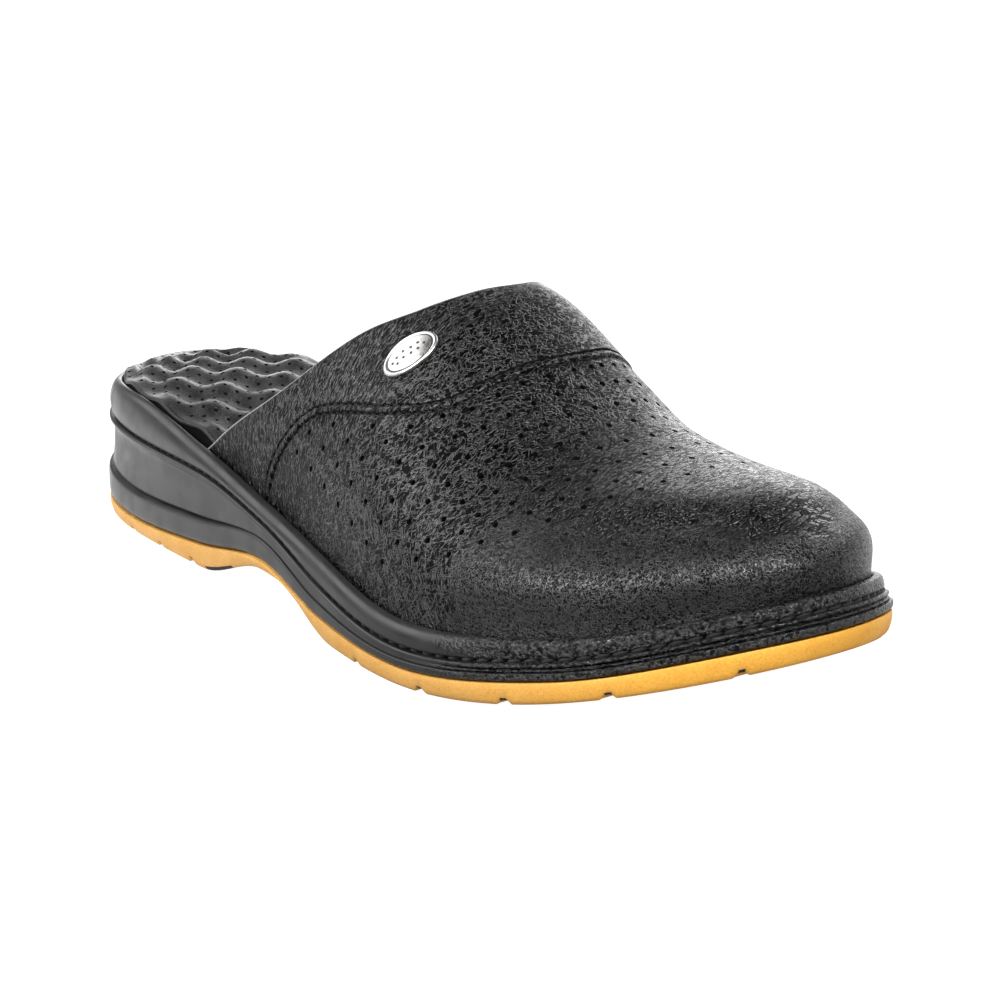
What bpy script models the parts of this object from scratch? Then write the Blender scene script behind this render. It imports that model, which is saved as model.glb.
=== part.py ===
"""Orthopedic clog for the right foot, built from the sole up.

Five pieces: a rubber outsole, a moulded midsole with its rand, a bumped insole, a one-piece leather
upper that is hollow and open at the collar and underneath, and an oval badge on the upper.
The toe points along +X, the inner side of the foot is +Y, and the shoe stands on z = 0.
Sizes are in millimetres until a mesh is made. Along is counted from the back of the heel.
"""
from math import pi

import bmesh
import bpy
import numpy as np

METRES = 0.001

# Driving dimensions
LENGTH = 285.0
PIECE_GAP = 0.3
UPPER_WALL = 2.0
COLLAR_BAND_STEP = 0.6
TOE_SPRING = 16.8
TOE_SPRING_START = 196.0
ARCH_RISE = 8.6
ARCH_BACK, ARCH_TOP_BACK, ARCH_TOP_FRONT, ARCH_FRONT = 90.0, 126.0, 136.0, 168.0
TREAD_GROOVES = (26.0, 47.0, 66.0, 85.0, 183.0, 210.0, 235.0, 257.0, 277.0)
TREAD_GROOVE_WIDTH, TREAD_GROOVE_DEPTH, TREAD_GROOVE_FLARE = 2.4, 1.6, 0.9

# Turning points of the sole's outline, seen from above
OUTLINE = (
    # place, along, across
    ("heel back", 0.0, 3.0),
    ("heel corner, outer", 6.0, -15.5),
    ("heel side, outer", 27.0, -33.0),
    ("waist, outer", 80.0, -42.0),
    ("joint, outer", 140.0, -48.0),
    ("ball, outer", 195.0, -57.0),
    ("toe shoulder, outer", 240.0, -48.5),
    ("toe corner, outer", 270.0, -24.0),
    ("toe tip", LENGTH, 10.5),
    ("toe corner, inner", 270.0, 42.0),
    ("toe shoulder, inner", 249.0, 52.0),
    ("ball, inner", 213.0, 57.0),
    ("joint, inner", 160.0, 46.5),
    ("waist, inner", 105.0, 35.5),
    ("heel side, inner", 40.0, 35.0),
    ("heel corner, inner", 6.0, 20.5),
)

# Heights of the sole's side lines, a row for each section
SOLE_LINES = (
    # along, outsole top, stitch groove, rand top, ridge above outsole
    (0.0, 5.5, 31.5, 38.5, 10.5),
    (45.0, 4.5, 29.0, 40.0, 8.0),
    (90.0, 7.0, 27.5, 33.2, 7.0),
    (125.0, 11.5, 21.7, 25.8, 6.0),
    (160.0, 6.5, 13.9, 19.9, 3.6),
    (200.0, 5.1, 9.8, 15.3, 2.2),
    (245.0, 10.6, 15.4, 20.3, 2.2),
    (LENGTH, 22.3, 28.0, 31.7, 2.6),
)

# The upper and the insole sit in a recess inside the rand
RECESS_INSET, RECESS_DEPTH = 5.0, 4.5

# Side of the outsole and of the midsole from bottom to top, a row for each moulded line
OUTSOLE_SIDE = (
    # place, inset, share of the height
    ("tread edge", 1.6, 0.0),
    ("bevel", 0.5, 0.3),
    ("wall", 0.1, 0.7),
    ("top edge", 0.3, 1.0),
)
MIDSOLE_SIDE = (
    # place, inset, heel panel depth, toe line depth, zone, share of the zone, lift
    ("underside edge", 1.0, 0.0, 0.0, "band", 0.0, 0.0),
    ("band foot", 0.1, 0.0, 0.0, "band", 0.2, 0.0),
    ("band", 0.0, 0.0, 0.0, "band", 0.65, 0.0),
    ("ridge", 0.5, 0.2, 0.0, "band", 1.0, 0.0),
    ("panel foot", 0.8, 1.3, 0.3, "panel", 0.1, 0.0),
    ("panel", 1.0, 2.3, 0.1, "panel", 0.45, 0.0),
    ("panel head", 1.2, 1.5, 1.0, "panel", 0.85, 0.0),
    ("lip", 1.4, 0.0, 0.0, "panel", 1.0, 0.0),
    ("groove, lower edge", 1.6, 0.0, 0.0, "rand", 0.0, -0.6),
    ("groove floor", 2.9, 0.0, 0.0, "rand", 0.0, 0.0),
    ("groove, upper edge", 1.7, 0.0, 0.0, "rand", 0.0, 0.6),
    ("rand", 1.2, 0.0, 0.0, "rand", 0.45, 0.0),
    ("rand shoulder", 2.3, 0.0, 0.0, "rand", 0.85, 0.0),
    ("rand crown", 4.2, 0.0, 0.0, "rand", 1.0, 0.0),
    ("recess edge", RECESS_INSET, 0.0, 0.0, "rand", 1.0, -0.5),
    ("recess foot", RECESS_INSET, 0.0, 0.0, "rand", 1.0, -RECESS_DEPTH),
)
LIP_DROP = 1.4
PANEL_WALLS = (11.0, 20.0)
TOE_LINE_PLACES = (212.0, 232.0)

# Ridge of the last, a row for each section; fullness 2 is an ellipse, less is leaner at the sole
LAST_RIDGE = (
    # along, across, height, outer fullness, inner fullness
    (80.0, 3.0, 92.5, 1.8, 1.9),
    (130.0, 6.0, 92.5, 1.8, 1.9),
    (171.0, 9.0, 84.5, 1.8, 1.8),
    (190.0, 10.5, 71.0, 1.9, 1.85),
    (210.0, 11.0, 58.0, 2.1, 1.85),
    (230.0, 11.5, 53.0, 2.3, 2.05),
    (252.0, 11.5, 51.3, 2.4, 2.7),
)

# Cut lines on the upper: climb runs from 0 at the sole to 1 on the ridge
COLLAR_EDGE = (
    # climb, outer along, inner along
    (0.00, 82.5, 85.0),
    (0.16, 99.8, 102.0),
    (0.37, 126.3, 128.0),
    (0.55, 144.0, 145.0),
    (0.70, 158.0, 158.5),
    (0.85, 165.2, 165.5),
    (1.00, 168.5, 168.5),
)
COLLAR_SEAM = (
    # climb, outer along, inner along
    (0.00, 119.3, 121.0),
    (0.13, 123.4, 125.0),
    (0.29, 134.8, 136.0),
    (0.34, 141.1, 142.0),
    (0.39, 153.0, 153.5),
    (0.44, 166.5, 166.5),
    (0.51, 178.2, 178.0),
    (0.61, 185.0, 184.8),
    (0.80, 189.3, 189.2),
    (1.00, 191.6, 191.6),
)

# How the upper's foot and the insole fit the recess
FOOT_INSET = 5.4
LAST_BULGE, BULGE_SPAN = 0.038, 0.7
BAND_STEP_FADE = (0.05, 0.14)
FAN_START, FAN_END = 205.0, LAST_RIDGE[-1][0]
INSOLE_INSET_HEEL, INSOLE_INSET_FRONT = 5.4, 7.8
INSOLE_NARROWS = (62.0, 79.0)
INSOLE_DROP, INSOLE_CUP, INSOLE_COLUMNS = 0.6, 1.6, 10
INSOLE_EDGE_ROUND, INSOLE_UNDERCUT = 1.3, 0.4
BUMP_PITCH, BUMP_HEIGHT = 13.0, 0.8

# The badge sits on the outer half of the collar band
BADGE_ALONG, BADGE_CLIMB = 165.7, 0.585
BADGE_LENGTH, BADGE_WIDTH, BADGE_TURN = 15.5, 12.0, 30.0
BADGE_EDGE, BADGE_DOME = 0.7, 0.7
BADGE_RINGS = (
    # share of the oval, share of the edge, share of the dome
    (0.0, 0.0, 0.0),
    (0.5, 0.0, 0.0),
    (1.0, 0.0, 0.0),
    (1.0, 1.0, 0.0),
    (0.9, 1.0, 0.35),
    (0.5, 1.0, 0.9),
    (0.0, 1.0, 1.0),
)

# Mesh fineness
CURVE_SAMPLES = 4000
HEEL_ROUND, BUMPS_END, TOE_ROUND = 13.0, 110.0, 235.0
HEEL_STATIONS, MIDDLE_STATIONS, TOE_STATIONS = 6, 15, 9
CAP_COLUMNS = 2
UPPER_CLIMBS = (0, 0.05, 0.10, 0.15, 0.20, 0.25, 0.30, 0.34, 0.38, 0.42, 0.46, 0.52, 0.59, 0.67, 0.76,
                0.85, 0.93, 1)
BAND_COLUMNS, VAMP_COLUMNS, TOE_COLUMNS = 4, 12, 10
BADGE_SEGMENTS = 24
PROBE_ALONG, PROBE_CLIMB = 0.5, 0.005

# Finish of each piece: colour, roughness, metallic
FINISHES = {
    "outsole": ((0.83, 0.50, 0.15, 1.0), 0.55, 0.0),
    "midsole": ((0.020, 0.020, 0.022, 1.0), 0.5, 0.0),
    "insole": ((0.016, 0.016, 0.018, 1.0), 0.75, 0.0),
    "upper": ((0.018, 0.018, 0.019, 1.0), 0.42, 0.0),
    "badge": ((0.78, 0.77, 0.75, 1.0), 0.18, 1.0),
}


# Curves
def closed_curve(points, count):
    """Smooth closed curve through the points."""
    points = np.array(points, float)
    total = len(points)
    step = np.linalg.norm(np.roll(points, -1, 0) - points, axis=1) ** 0.5
    knots = np.concatenate([[0.0], np.cumsum(step)])
    system, pull = np.zeros((total, total)), np.zeros((total, 2))
    for i in range(total):
        before, after, following = step[i - 1], step[i], (i + 1) % total
        system[i, i - 1] += 1 / before
        system[i, i] += 2 / before + 2 / after
        system[i, following] += 1 / after
        pull[i] = 3 * (points[i] - points[i - 1]) / before**2
        pull[i] += 3 * (points[following] - points[i]) / after**2
    slopes = np.linalg.solve(system, pull)
    places = np.linspace(0, knots[-1], count, endpoint=False)
    k = np.clip(np.searchsorted(knots, places, side="right") - 1, 0, total - 1)
    u = ((places - knots[k]) / step[k])[:, None]
    return hermite(u, step[k][:, None], points[k], points[(k + 1) % total], slopes[k],
                   slopes[(k + 1) % total])


def hermite(u, width, start, end, slope_start, slope_end):
    """Cubic between two ends with given slopes."""
    rise = 3 * u**2 - 2 * u**3
    lead, trail = u**3 - 2 * u**2 + u, u**3 - u**2
    return start * (1 - rise) + end * rise + width * (lead * slope_start + trail * slope_end)


def table_curve(table, column, level_end=False):
    """Function through one column of a table that doesn't swing past its rows."""
    places = np.array([row[0] for row in table], float)
    values = np.array([row[column] for row in table], float)
    width = np.diff(places)
    grade = np.diff(values) / width
    slopes = np.zeros(len(places))
    slopes[0], slopes[-1] = grade[0], 0.0 if level_end else grade[-1]
    for i in range(1, len(places) - 1):
        if grade[i - 1] * grade[i] > 0:
            near, far = 2 * width[i] + width[i - 1], width[i] + 2 * width[i - 1]
            slopes[i] = (near + far) / (near / grade[i - 1] + far / grade[i])

    def value(place):
        place = np.clip(place, places[0], places[-1])
        k = np.clip(np.searchsorted(places, place, side="right") - 1, 0, len(width) - 1)
        u = (place - places[k]) / width[k]
        return hermite(u, width[k], values[k], values[k + 1], slopes[k], slopes[k + 1])

    return value


def ease(value, start, end):
    """Smooth step from 0 at start to 1 at end."""
    u = np.clip((value - start) / (end - start), 0.0, 1.0)
    return u * u * (3 - 2 * u)


# The last: sole outline, side lines and the upper's surface
def split_outline():
    """Outline samples and their outward directions, for the outer and the inner side."""
    curve = closed_curve([row[1:] for row in OUTLINE], CURVE_SAMPLES)
    tangent = np.roll(curve, -1, 0) - np.roll(curve, 1, 0)
    tangent /= np.linalg.norm(tangent, axis=1)[:, None]
    outward = np.stack([tangent[:, 1], -tangent[:, 0]], 1)
    back, tip = curve[:, 0].argmin(), curve[:, 0].argmax()
    forward = np.arange(back, back + (tip - back) % CURVE_SAMPLES + 1) % CURVE_SAMPLES
    homeward = np.arange(tip, tip + (back - tip) % CURVE_SAMPLES + 1)[::-1] % CURVE_SAMPLES
    sides = {"outer": (curve[forward], outward[forward]), "inner": (curve[homeward], outward[homeward])}
    return sides, (curve.min(0) + curve.max(0)) / 2


SIDES, CENTRE = split_outline()
BACK, TIP = (SIDES["outer"][0][i, 0] for i in (0, -1))
outsole_top, groove_line, rand_top, ridge_lift = (table_curve(SOLE_LINES, c) for c in (1, 2, 3, 4))
ridge_across, ridge_height = (table_curve(LAST_RIDGE, c, level_end=True) for c in (1, 2))
fullness = {"outer": table_curve(LAST_RIDGE, 3), "inner": table_curve(LAST_RIDGE, 4)}
collar_edge = {"outer": table_curve(COLLAR_EDGE, 1, True), "inner": table_curve(COLLAR_EDGE, 2, True)}
collar_seam = {"outer": table_curve(COLLAR_SEAM, 1, True), "inner": table_curve(COLLAR_SEAM, 2, True)}


def edge(side, along, inset):
    """Points of the outline at given places along, moved inwards."""
    points, outward = SIDES[side]
    place = np.interp(along, np.maximum.accumulate(points[:, 0]), np.arange(len(points)))
    k = np.clip(place.astype(int), 0, len(points) - 2)
    u = (place - k)[..., None]
    inset = np.broadcast_to(inset, place.shape)[..., None]
    return (points[k] - outward[k] * inset) * (1 - u) + (points[k + 1] - outward[k + 1] * inset) * u


def ground(along):
    """Underside of the outsole: flat heel and forefoot, arch between, toe spring in front."""
    arch = ease(along, ARCH_BACK, ARCH_TOP_BACK) * (1 - ease(along, ARCH_TOP_FRONT, ARCH_FRONT))
    spring = np.clip((along - TOE_SPRING_START) / (LENGTH - TOE_SPRING_START), 0, None)
    return ARCH_RISE * arch + TOE_SPRING * spring**2


def recess_floor(along):
    return rand_top(along) - RECESS_DEPTH


def ridge_place(along):
    """Place on the ridge that a section starts from: sections fan out round the toe."""
    reach, travel = TIP - FAN_START, FAN_END - FAN_START
    turn = np.arcsin(np.clip((along - FAN_START) / reach, 0, 1)) * 2 / pi
    fanned = FAN_START + travel * (1 - (1 - turn) ** (reach * pi / 2 / travel))
    return np.where(along < FAN_START, along, fanned)


def last_surface(side, along, climb):
    """Outer face of the upper at a place along and a climb from sole to ridge."""
    along, climb = np.broadcast_arrays(np.asarray(along, float), np.asarray(climb, float))
    foot = edge(side, along, FOOT_INSET)
    foot_z = recess_floor(foot[..., 0]) + PIECE_GAP
    top_x = ridge_place(along)
    top_y, top_z, full = ridge_across(top_x), ridge_height(top_x), fullness[side](top_x)
    angle, power = climb * pi / 2, 2 / (full + (2 - full) * climb**2)
    reach, rise = np.cos(angle).clip(0) ** power, np.sin(angle).clip(0) ** power
    free = rise - RECESS_DEPTH / (top_z - foot_z)
    reach = reach + LAST_BULGE * np.sin(pi * np.clip(free / BULGE_SPAN, 0, 1)) ** 2
    x = top_x + (foot[..., 0] - top_x) * reach
    y = top_y + (foot[..., 1] - top_y) * reach
    return np.stack([x, y, foot_z + (top_z - foot_z) * rise], -1)


# Mesh helpers
def finish_material(name):
    colour, roughness, metallic = FINISHES[name]
    material = bpy.data.materials.new(name + "_finish")
    material.use_nodes = True
    shader = material.node_tree.nodes["Principled BSDF"]
    shader.inputs["Base Color"].default_value = colour
    shader.inputs["Roughness"].default_value = roughness
    shader.inputs["Metallic"].default_value = metallic
    material.diffuse_color = colour
    return material


def make_solid(name, points, faces):
    """One closed body with its faces outwards, moved to the middle of the outline."""
    points = (np.asarray(points) - [CENTRE[0], CENTRE[1], 0.0]) * METRES
    mesh = bpy.data.meshes.new(name)
    mesh.from_pydata(points.tolist(), [], faces)
    body = bmesh.new()
    body.from_mesh(mesh)
    bmesh.ops.recalc_face_normals(body, faces=body.faces)
    body.to_mesh(mesh)
    body.free()
    mesh.shade_smooth()
    mesh.materials.append(finish_material(name))
    solid = bpy.data.objects.new(name, mesh)
    bpy.context.collection.objects.link(solid)
    return solid


def sole_stations():
    """Places along the sole, closer together on the round heel and toe."""
    heel = BACK + (HEEL_ROUND - BACK) * (1 - np.cos(np.linspace(0, pi / 2, HEEL_STATIONS)))
    bumps = np.arange(HEEL_ROUND, BUMPS_END, BUMP_PITCH / 2)[1:]
    middle = np.linspace(bumps[-1], TOE_ROUND, MIDDLE_STATIONS)[1:]
    toe = TOE_ROUND + (TIP - TOE_ROUND) * np.sin(np.linspace(0, pi / 2, TOE_STATIONS))[1:]
    return np.concatenate([heel, bumps, middle, toe])


def tread_stations():
    """Sole stations with four more at each tread groove: rim, floor, floor, rim."""
    half = TREAD_GROOVE_WIDTH / 2
    offsets = np.array([-half - TREAD_GROOVE_FLARE, -half, half, half + TREAD_GROOVE_FLARE])
    grooves = np.concatenate([groove + offsets for groove in TREAD_GROOVES])
    clear = 2 * half + TREAD_GROOVE_FLARE
    plain = [s for s in sole_stations() if min(abs(s - groove) for groove in TREAD_GROOVES) > clear]
    return np.sort(np.concatenate([plain, grooves]))


def stacked_solid(name, stations, rings, floor, ceiling, columns_below, columns_above):
    """Solid of outline rings from bottom to top, each an inset and a height, capped across."""
    points, faces, loops = [], [], []
    last = len(stations) - 1
    for inset, height in rings:
        outer, inner = edge("outer", stations, inset), edge("inner", stations, inset)
        loop = np.concatenate([outer, inner[last - 1:0:-1]])
        lift = height(loop[:, 0], np.concatenate([stations, stations[last - 1:0:-1]]))
        loops.append(range(len(points), len(points) + len(loop)))
        points.extend(np.column_stack([loop, lift]).tolist())
    count = len(loops[0])
    for low, high in zip(loops, loops[1:]):
        for i in range(count):
            j = (i + 1) % count
            faces.append((low[i], low[j], high[j], high[i]))
    for loop, cap, columns in ((loops[0], floor, columns_below), (loops[-1], ceiling, columns_above)):
        rows = [[loop[0]]]
        for i in range(1, last):
            start, end = np.array(points[loop[i]]), np.array(points[loop[count - i]])
            row = [loop[i]]
            for j in range(1, columns):
                spot = start + (end - start) * j / columns
                spot[2] = cap(spot[0], stations[i], i, j)
                row.append(len(points))
                points.append(spot.tolist())
            rows.append(row + [loop[count - i]])
        rows.append([loop[last]])
        for low, high in zip(rows, rows[1:]):
            for j in range(columns):
                a, b = low[min(j, len(low) - 1)], low[min(j + 1, len(low) - 1)]
                c, d = high[min(j + 1, len(high) - 1)], high[min(j, len(high) - 1)]
                faces.append(tuple(dict.fromkeys((a, b, c, d))))
    return make_solid(name, points, faces)


# Pieces
def make_outsole():
    """Rubber unit: bevelled lower edge, tread grooves that come out at the side, arch and toe spring."""
    def underside(x, station):
        nearest = np.abs(np.subtract.outer(station, TREAD_GROOVES)).min(-1)
        return ground(x) + TREAD_GROOVE_DEPTH * (nearest < TREAD_GROOVE_WIDTH / 2 + TREAD_GROOVE_FLARE / 2)

    def topside(x):
        return outsole_top(x) - PIECE_GAP / 2

    def ring(share):
        return lambda x, station: underside(x, station) * (1 - share) + topside(x) * share

    rings = [(inset, ring(share)) for place, inset, share in OUTSOLE_SIDE]
    return stacked_solid("outsole", tread_stations(), rings, lambda x, station, i, j: underside(x, station),
                         lambda x, station, i, j: topside(x), CAP_COLUMNS, CAP_COLUMNS)


def zone_ends(zone, x):
    """Lower and upper height of a zone of the midsole's side."""
    ridge = outsole_top(x) + ridge_lift(x)
    if zone == "band":
        return outsole_top(x) + PIECE_GAP / 2, ridge
    if zone == "panel":
        return ridge, groove_line(x) - LIP_DROP
    return groove_line(x), rand_top(x)


def make_midsole():
    """Moulded unit: bulged band, ridge, hollow heel panel, lip, stitch groove, rand and recess."""
    stations = sole_stations()
    panel = ease(groove_line(stations) - outsole_top(stations), *PANEL_WALLS)
    toe = ease(stations, *TOE_LINE_PLACES)

    def ring(zone, share, lift):
        def height(x, station):
            low, high = zone_ends(zone, x)
            return low + share * (high - low) + lift
        return height

    rings = [(inset + panel_depth * panel + toe_depth * toe, ring(zone, share, lift))
             for place, inset, panel_depth, toe_depth, zone, share, lift in MIDSOLE_SIDE]
    return stacked_solid("midsole", stations, rings,
                         lambda x, station, i, j: outsole_top(x) + PIECE_GAP / 2,
                         lambda x, station, i, j: recess_floor(x), CAP_COLUMNS, CAP_COLUMNS)


def make_insole():
    """Loose footbed in the recess: heel cup and staggered bumps, narrower where the upper comes in."""
    stations = sole_stations()
    margin = INSOLE_INSET_HEEL + (INSOLE_INSET_FRONT - INSOLE_INSET_HEEL) * ease(stations, *INSOLE_NARROWS)

    def bed(x, station, i, j):
        return recess_floor(x) + PIECE_GAP

    def crown(x, station):
        return rand_top(x) - INSOLE_DROP

    def top(x, station, i, j):
        cup = INSOLE_CUP * (1 - (2 * j / INSOLE_COLUMNS - 1) ** 2)
        bump = 0.0 if station < HEEL_ROUND else BUMP_HEIGHT * (-1) ** (i + j)
        return crown(x, station) - cup + bump

    rings = [
        (margin + INSOLE_UNDERCUT, lambda x, station: bed(x, station, 0, 0)),
        (margin, lambda x, station: crown(x, station) - INSOLE_EDGE_ROUND),
        (margin + INSOLE_EDGE_ROUND, crown),
    ]
    return stacked_solid("insole", stations, rings, bed, top, CAP_COLUMNS, INSOLE_COLUMNS)


def upper_columns(side, climb):
    """Places along the upper for one climb: collar edge, seam, and on to the toe tip."""
    collar, seam = collar_edge[side](climb), collar_seam[side](climb)
    band = np.linspace(collar, seam, BAND_COLUMNS + 1)
    vamp = np.linspace(seam + COLLAR_BAND_STEP, FAN_START, VAMP_COLUMNS + 1)
    toe = FAN_START + (TIP - FAN_START) * np.sin(np.linspace(0, pi / 2, TOE_COLUMNS + 1)[1:])
    return np.concatenate([band, vamp, toe])


def surface_normals(points, faces):
    """Upward or outward direction at each point of an open surface."""
    normals = np.zeros_like(points)
    for face in faces:
        corners = points[list(face)]
        normals[list(face)] += np.cross(corners[2] - corners[0], corners[-1] - corners[1])
    return normals / np.linalg.norm(normals, axis=1)[:, None]


def upper_grid():
    """Points and faces of the last's surface; both sides share the ridge and the toe's middle line."""
    points, faces, index, places = [], [], {}, []
    ridge, tip = len(UPPER_CLIMBS) - 1, BAND_COLUMNS + VAMP_COLUMNS + TOE_COLUMNS + 1
    for side, sign in (("outer", -1), ("inner", 1)):
        for r, climb in enumerate(UPPER_CLIMBS):
            for c, point in enumerate(last_surface(side, upper_columns(side, climb), climb)):
                key = (sign * (ridge - r), c)
                # the ridge ends one column before the tip, where its last two points would meet
                twin = (0, tip - 1) if key == (0, tip) else (r - ridge, c)
                if (r == ridge or c == tip) and twin in index:
                    index[key] = index[twin]
                else:
                    index[key] = len(points)
                    points.append(point)
                    places.append((climb, c))
    for r in range(-ridge, ridge):
        for c in range(tip):
            corners = index[r, c], index[r, c + 1], index[r + 1, c + 1], index[r + 1, c]
            faces.append(tuple(dict.fromkeys(corners)))
    return np.array(points), faces, np.array(places)


def make_upper():
    """One leather wall over the last, stepped at the collar seam, open at the collar and below."""
    skin, faces, places = upper_grid()
    normals = surface_normals(skin, faces)
    climb, column = places.T
    step = COLLAR_BAND_STEP * ease(climb, *BAND_STEP_FADE) * (column <= BAND_COLUMNS)
    outer, inner = skin + normals * step[:, None], skin - normals * UPPER_WALL
    # at the sole the wall stays level, so that it stands on the recess floor
    foot = climb == 0
    level = normals[foot, :2] / np.linalg.norm(normals[foot, :2], axis=1)[:, None]
    inner[foot] = skin[foot]
    inner[foot, :2] -= level * UPPER_WALL
    count = len(skin)
    sides = [(a, b) for face in faces for a, b in zip(face, face[1:] + face[:1])]
    paired = set(sides)
    rim = [(b, a, a + count, b + count) for a, b in sides if (b, a) not in paired]
    lining = [tuple(i + count for i in reversed(face)) for face in faces]
    return make_solid("upper", np.concatenate([outer, inner]), faces + lining + rim)


def make_badge():
    """Domed oval plate that follows the collar band."""
    def spot(along, climb):
        return last_surface("outer", along, climb)

    def directions(along, climb):
        forward = (spot(along + PROBE_ALONG, climb) - spot(along - PROBE_ALONG, climb)) / (2 * PROBE_ALONG)
        upward = (spot(along, climb + PROBE_CLIMB) - spot(along, climb - PROBE_CLIMB)) / (2 * PROBE_CLIMB)
        normal = np.cross(forward, upward)
        return forward, upward, normal / np.linalg.norm(normal)

    forward, upward, normal = directions(BADGE_ALONG, BADGE_CLIMB)
    up = upward / np.linalg.norm(upward)
    toeward = np.cross(up, normal)
    turn = np.radians(BADGE_TURN)
    half_length = (up * np.cos(turn) + toeward * np.sin(turn)) * BADGE_LENGTH / 2
    half_width = (toeward * np.cos(turn) - up * np.sin(turn)) * BADGE_WIDTH / 2
    to_places = np.linalg.pinv(np.stack([forward, upward], 1))
    points, loops = [], []
    for share, edge_share, dome_share in BADGE_RINGS:
        height = COLLAR_BAND_STEP + PIECE_GAP + BADGE_EDGE * edge_share + BADGE_DOME * dome_share
        angles = np.linspace(0, 2 * pi, BADGE_SEGMENTS, endpoint=False) if share else [0.0]
        loops.append([len(points) + i for i in range(len(angles))])
        for angle in angles:
            offset = (half_length * np.cos(angle) + half_width * np.sin(angle)) * share
            along, climb = np.array([BADGE_ALONG, BADGE_CLIMB]) + to_places @ offset
            points.append(spot(along, climb) + directions(along, climb)[2] * height)
    faces = []
    for low, high in zip(loops, loops[1:]):
        for i in range(BADGE_SEGMENTS):
            j = (i + 1) % BADGE_SEGMENTS
            corners = low[i % len(low)], low[j % len(low)], high[j % len(high)], high[i % len(high)]
            faces.append(tuple(dict.fromkeys(corners)))
    return make_solid("badge", points, faces)


def main():
    for old in list(bpy.data.objects):
        bpy.data.objects.remove(old)
    make_outsole()
    make_midsole()
    make_insole()
    make_upper()
    make_badge()


main()
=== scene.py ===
# %% [markdown]
# # Dressing a perforated leather clog
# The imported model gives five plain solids: outsole, midsole, insole, upper and badge. This lesson keeps their
# places and sizes, and gives each one the finer form and the finish of the real thing.
# All sizes are worked out in millimetres on the shoemaker's last, counted along from the back of the heel and
# across from the middle, because that is how the real pieces are cut. They become metres when a mesh is made.

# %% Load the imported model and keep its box
from math import cos, pi, radians, sin

import bpy
import numpy as np
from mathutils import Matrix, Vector


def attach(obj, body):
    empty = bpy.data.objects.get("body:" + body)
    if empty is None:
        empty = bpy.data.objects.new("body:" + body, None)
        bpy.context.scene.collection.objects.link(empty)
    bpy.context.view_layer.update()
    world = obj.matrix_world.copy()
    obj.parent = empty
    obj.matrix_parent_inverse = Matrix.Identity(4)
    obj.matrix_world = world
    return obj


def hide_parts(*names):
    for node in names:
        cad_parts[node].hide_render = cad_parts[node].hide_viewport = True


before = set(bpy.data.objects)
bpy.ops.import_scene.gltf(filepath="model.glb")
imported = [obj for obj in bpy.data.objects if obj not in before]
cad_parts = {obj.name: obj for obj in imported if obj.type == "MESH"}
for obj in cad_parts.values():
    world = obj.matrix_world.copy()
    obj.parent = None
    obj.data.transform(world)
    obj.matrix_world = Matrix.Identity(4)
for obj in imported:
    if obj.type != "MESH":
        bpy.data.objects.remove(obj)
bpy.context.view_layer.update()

METRES = 0.001
print("solids:", ", ".join(sorted(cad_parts)))

# %% [markdown]
# ## The last
# A shoe is built round a last, a foot-shaped block. A few tables hold it: the outline of the sole from above,
# the heights of the sole's side lines, the ridge over the instep, and the two lines cut into the upper.
# The same shape could be sculpted by hand, but tables keep every later piece on the same surface, so a stitch
# or a hole can be placed by two numbers and lands on the leather.

# %% Tables of the last
LENGTH = 285.0
OUTLINE = (
    # place, along, across
    ("heel back", 0.0, 3.0),
    ("heel corner, outer", 6.0, -15.5),
    ("heel side, outer", 27.0, -33.0),
    ("waist, outer", 80.0, -42.0),
    ("joint, outer", 140.0, -48.0),
    ("ball, outer", 195.0, -57.0),
    ("toe shoulder, outer", 240.0, -48.5),
    ("toe corner, outer", 270.0, -24.0),
    ("toe tip", LENGTH, 10.5),
    ("toe corner, inner", 270.0, 42.0),
    ("toe shoulder, inner", 249.0, 52.0),
    ("ball, inner", 213.0, 57.0),
    ("joint, inner", 160.0, 46.5),
    ("waist, inner", 105.0, 35.5),
    ("heel side, inner", 40.0, 35.0),
    ("heel corner, inner", 6.0, 20.5),
)
SOLE_LINES = (
    # along, outsole top, stitch groove, rand top, ridge above outsole
    (0.0, 5.5, 31.5, 38.5, 10.5),
    (45.0, 4.5, 29.0, 40.0, 8.0),
    (90.0, 7.0, 27.5, 33.2, 7.0),
    (125.0, 11.5, 21.7, 25.8, 6.0),
    (160.0, 6.5, 13.9, 19.9, 3.6),
    (200.0, 5.1, 9.8, 15.3, 2.2),
    (245.0, 10.6, 15.4, 20.3, 2.2),
    (LENGTH, 22.3, 28.0, 31.7, 2.6),
)
LAST_RIDGE = (
    # along, across, height, outer fullness, inner fullness
    (80.0, 3.0, 92.5, 1.8, 1.9),
    (130.0, 6.0, 92.5, 1.8, 1.9),
    (171.0, 9.0, 84.5, 1.8, 1.8),
    (190.0, 10.5, 71.0, 1.9, 1.85),
    (210.0, 11.0, 58.0, 2.1, 1.85),
    (230.0, 11.5, 53.0, 2.3, 2.05),
    (252.0, 11.5, 51.3, 2.4, 2.7),
)
COLLAR_EDGE = (
    # climb from sole to ridge, outer along, inner along
    (0.00, 82.5, 85.0),
    (0.16, 99.8, 102.0),
    (0.37, 126.3, 128.0),
    (0.55, 144.0, 145.0),
    (0.70, 158.0, 158.5),
    (0.85, 165.2, 165.5),
    (1.00, 168.5, 168.5),
)
COLLAR_SEAM = (
    # climb from sole to ridge, outer along, inner along
    (0.00, 119.3, 121.0),
    (0.13, 123.4, 125.0),
    (0.29, 134.8, 136.0),
    (0.34, 141.1, 142.0),
    (0.39, 153.0, 153.5),
    (0.44, 166.5, 166.5),
    (0.51, 178.2, 178.0),
    (0.61, 185.0, 184.8),
    (0.80, 189.3, 189.2),
    (1.00, 191.6, 191.6),
)
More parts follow.
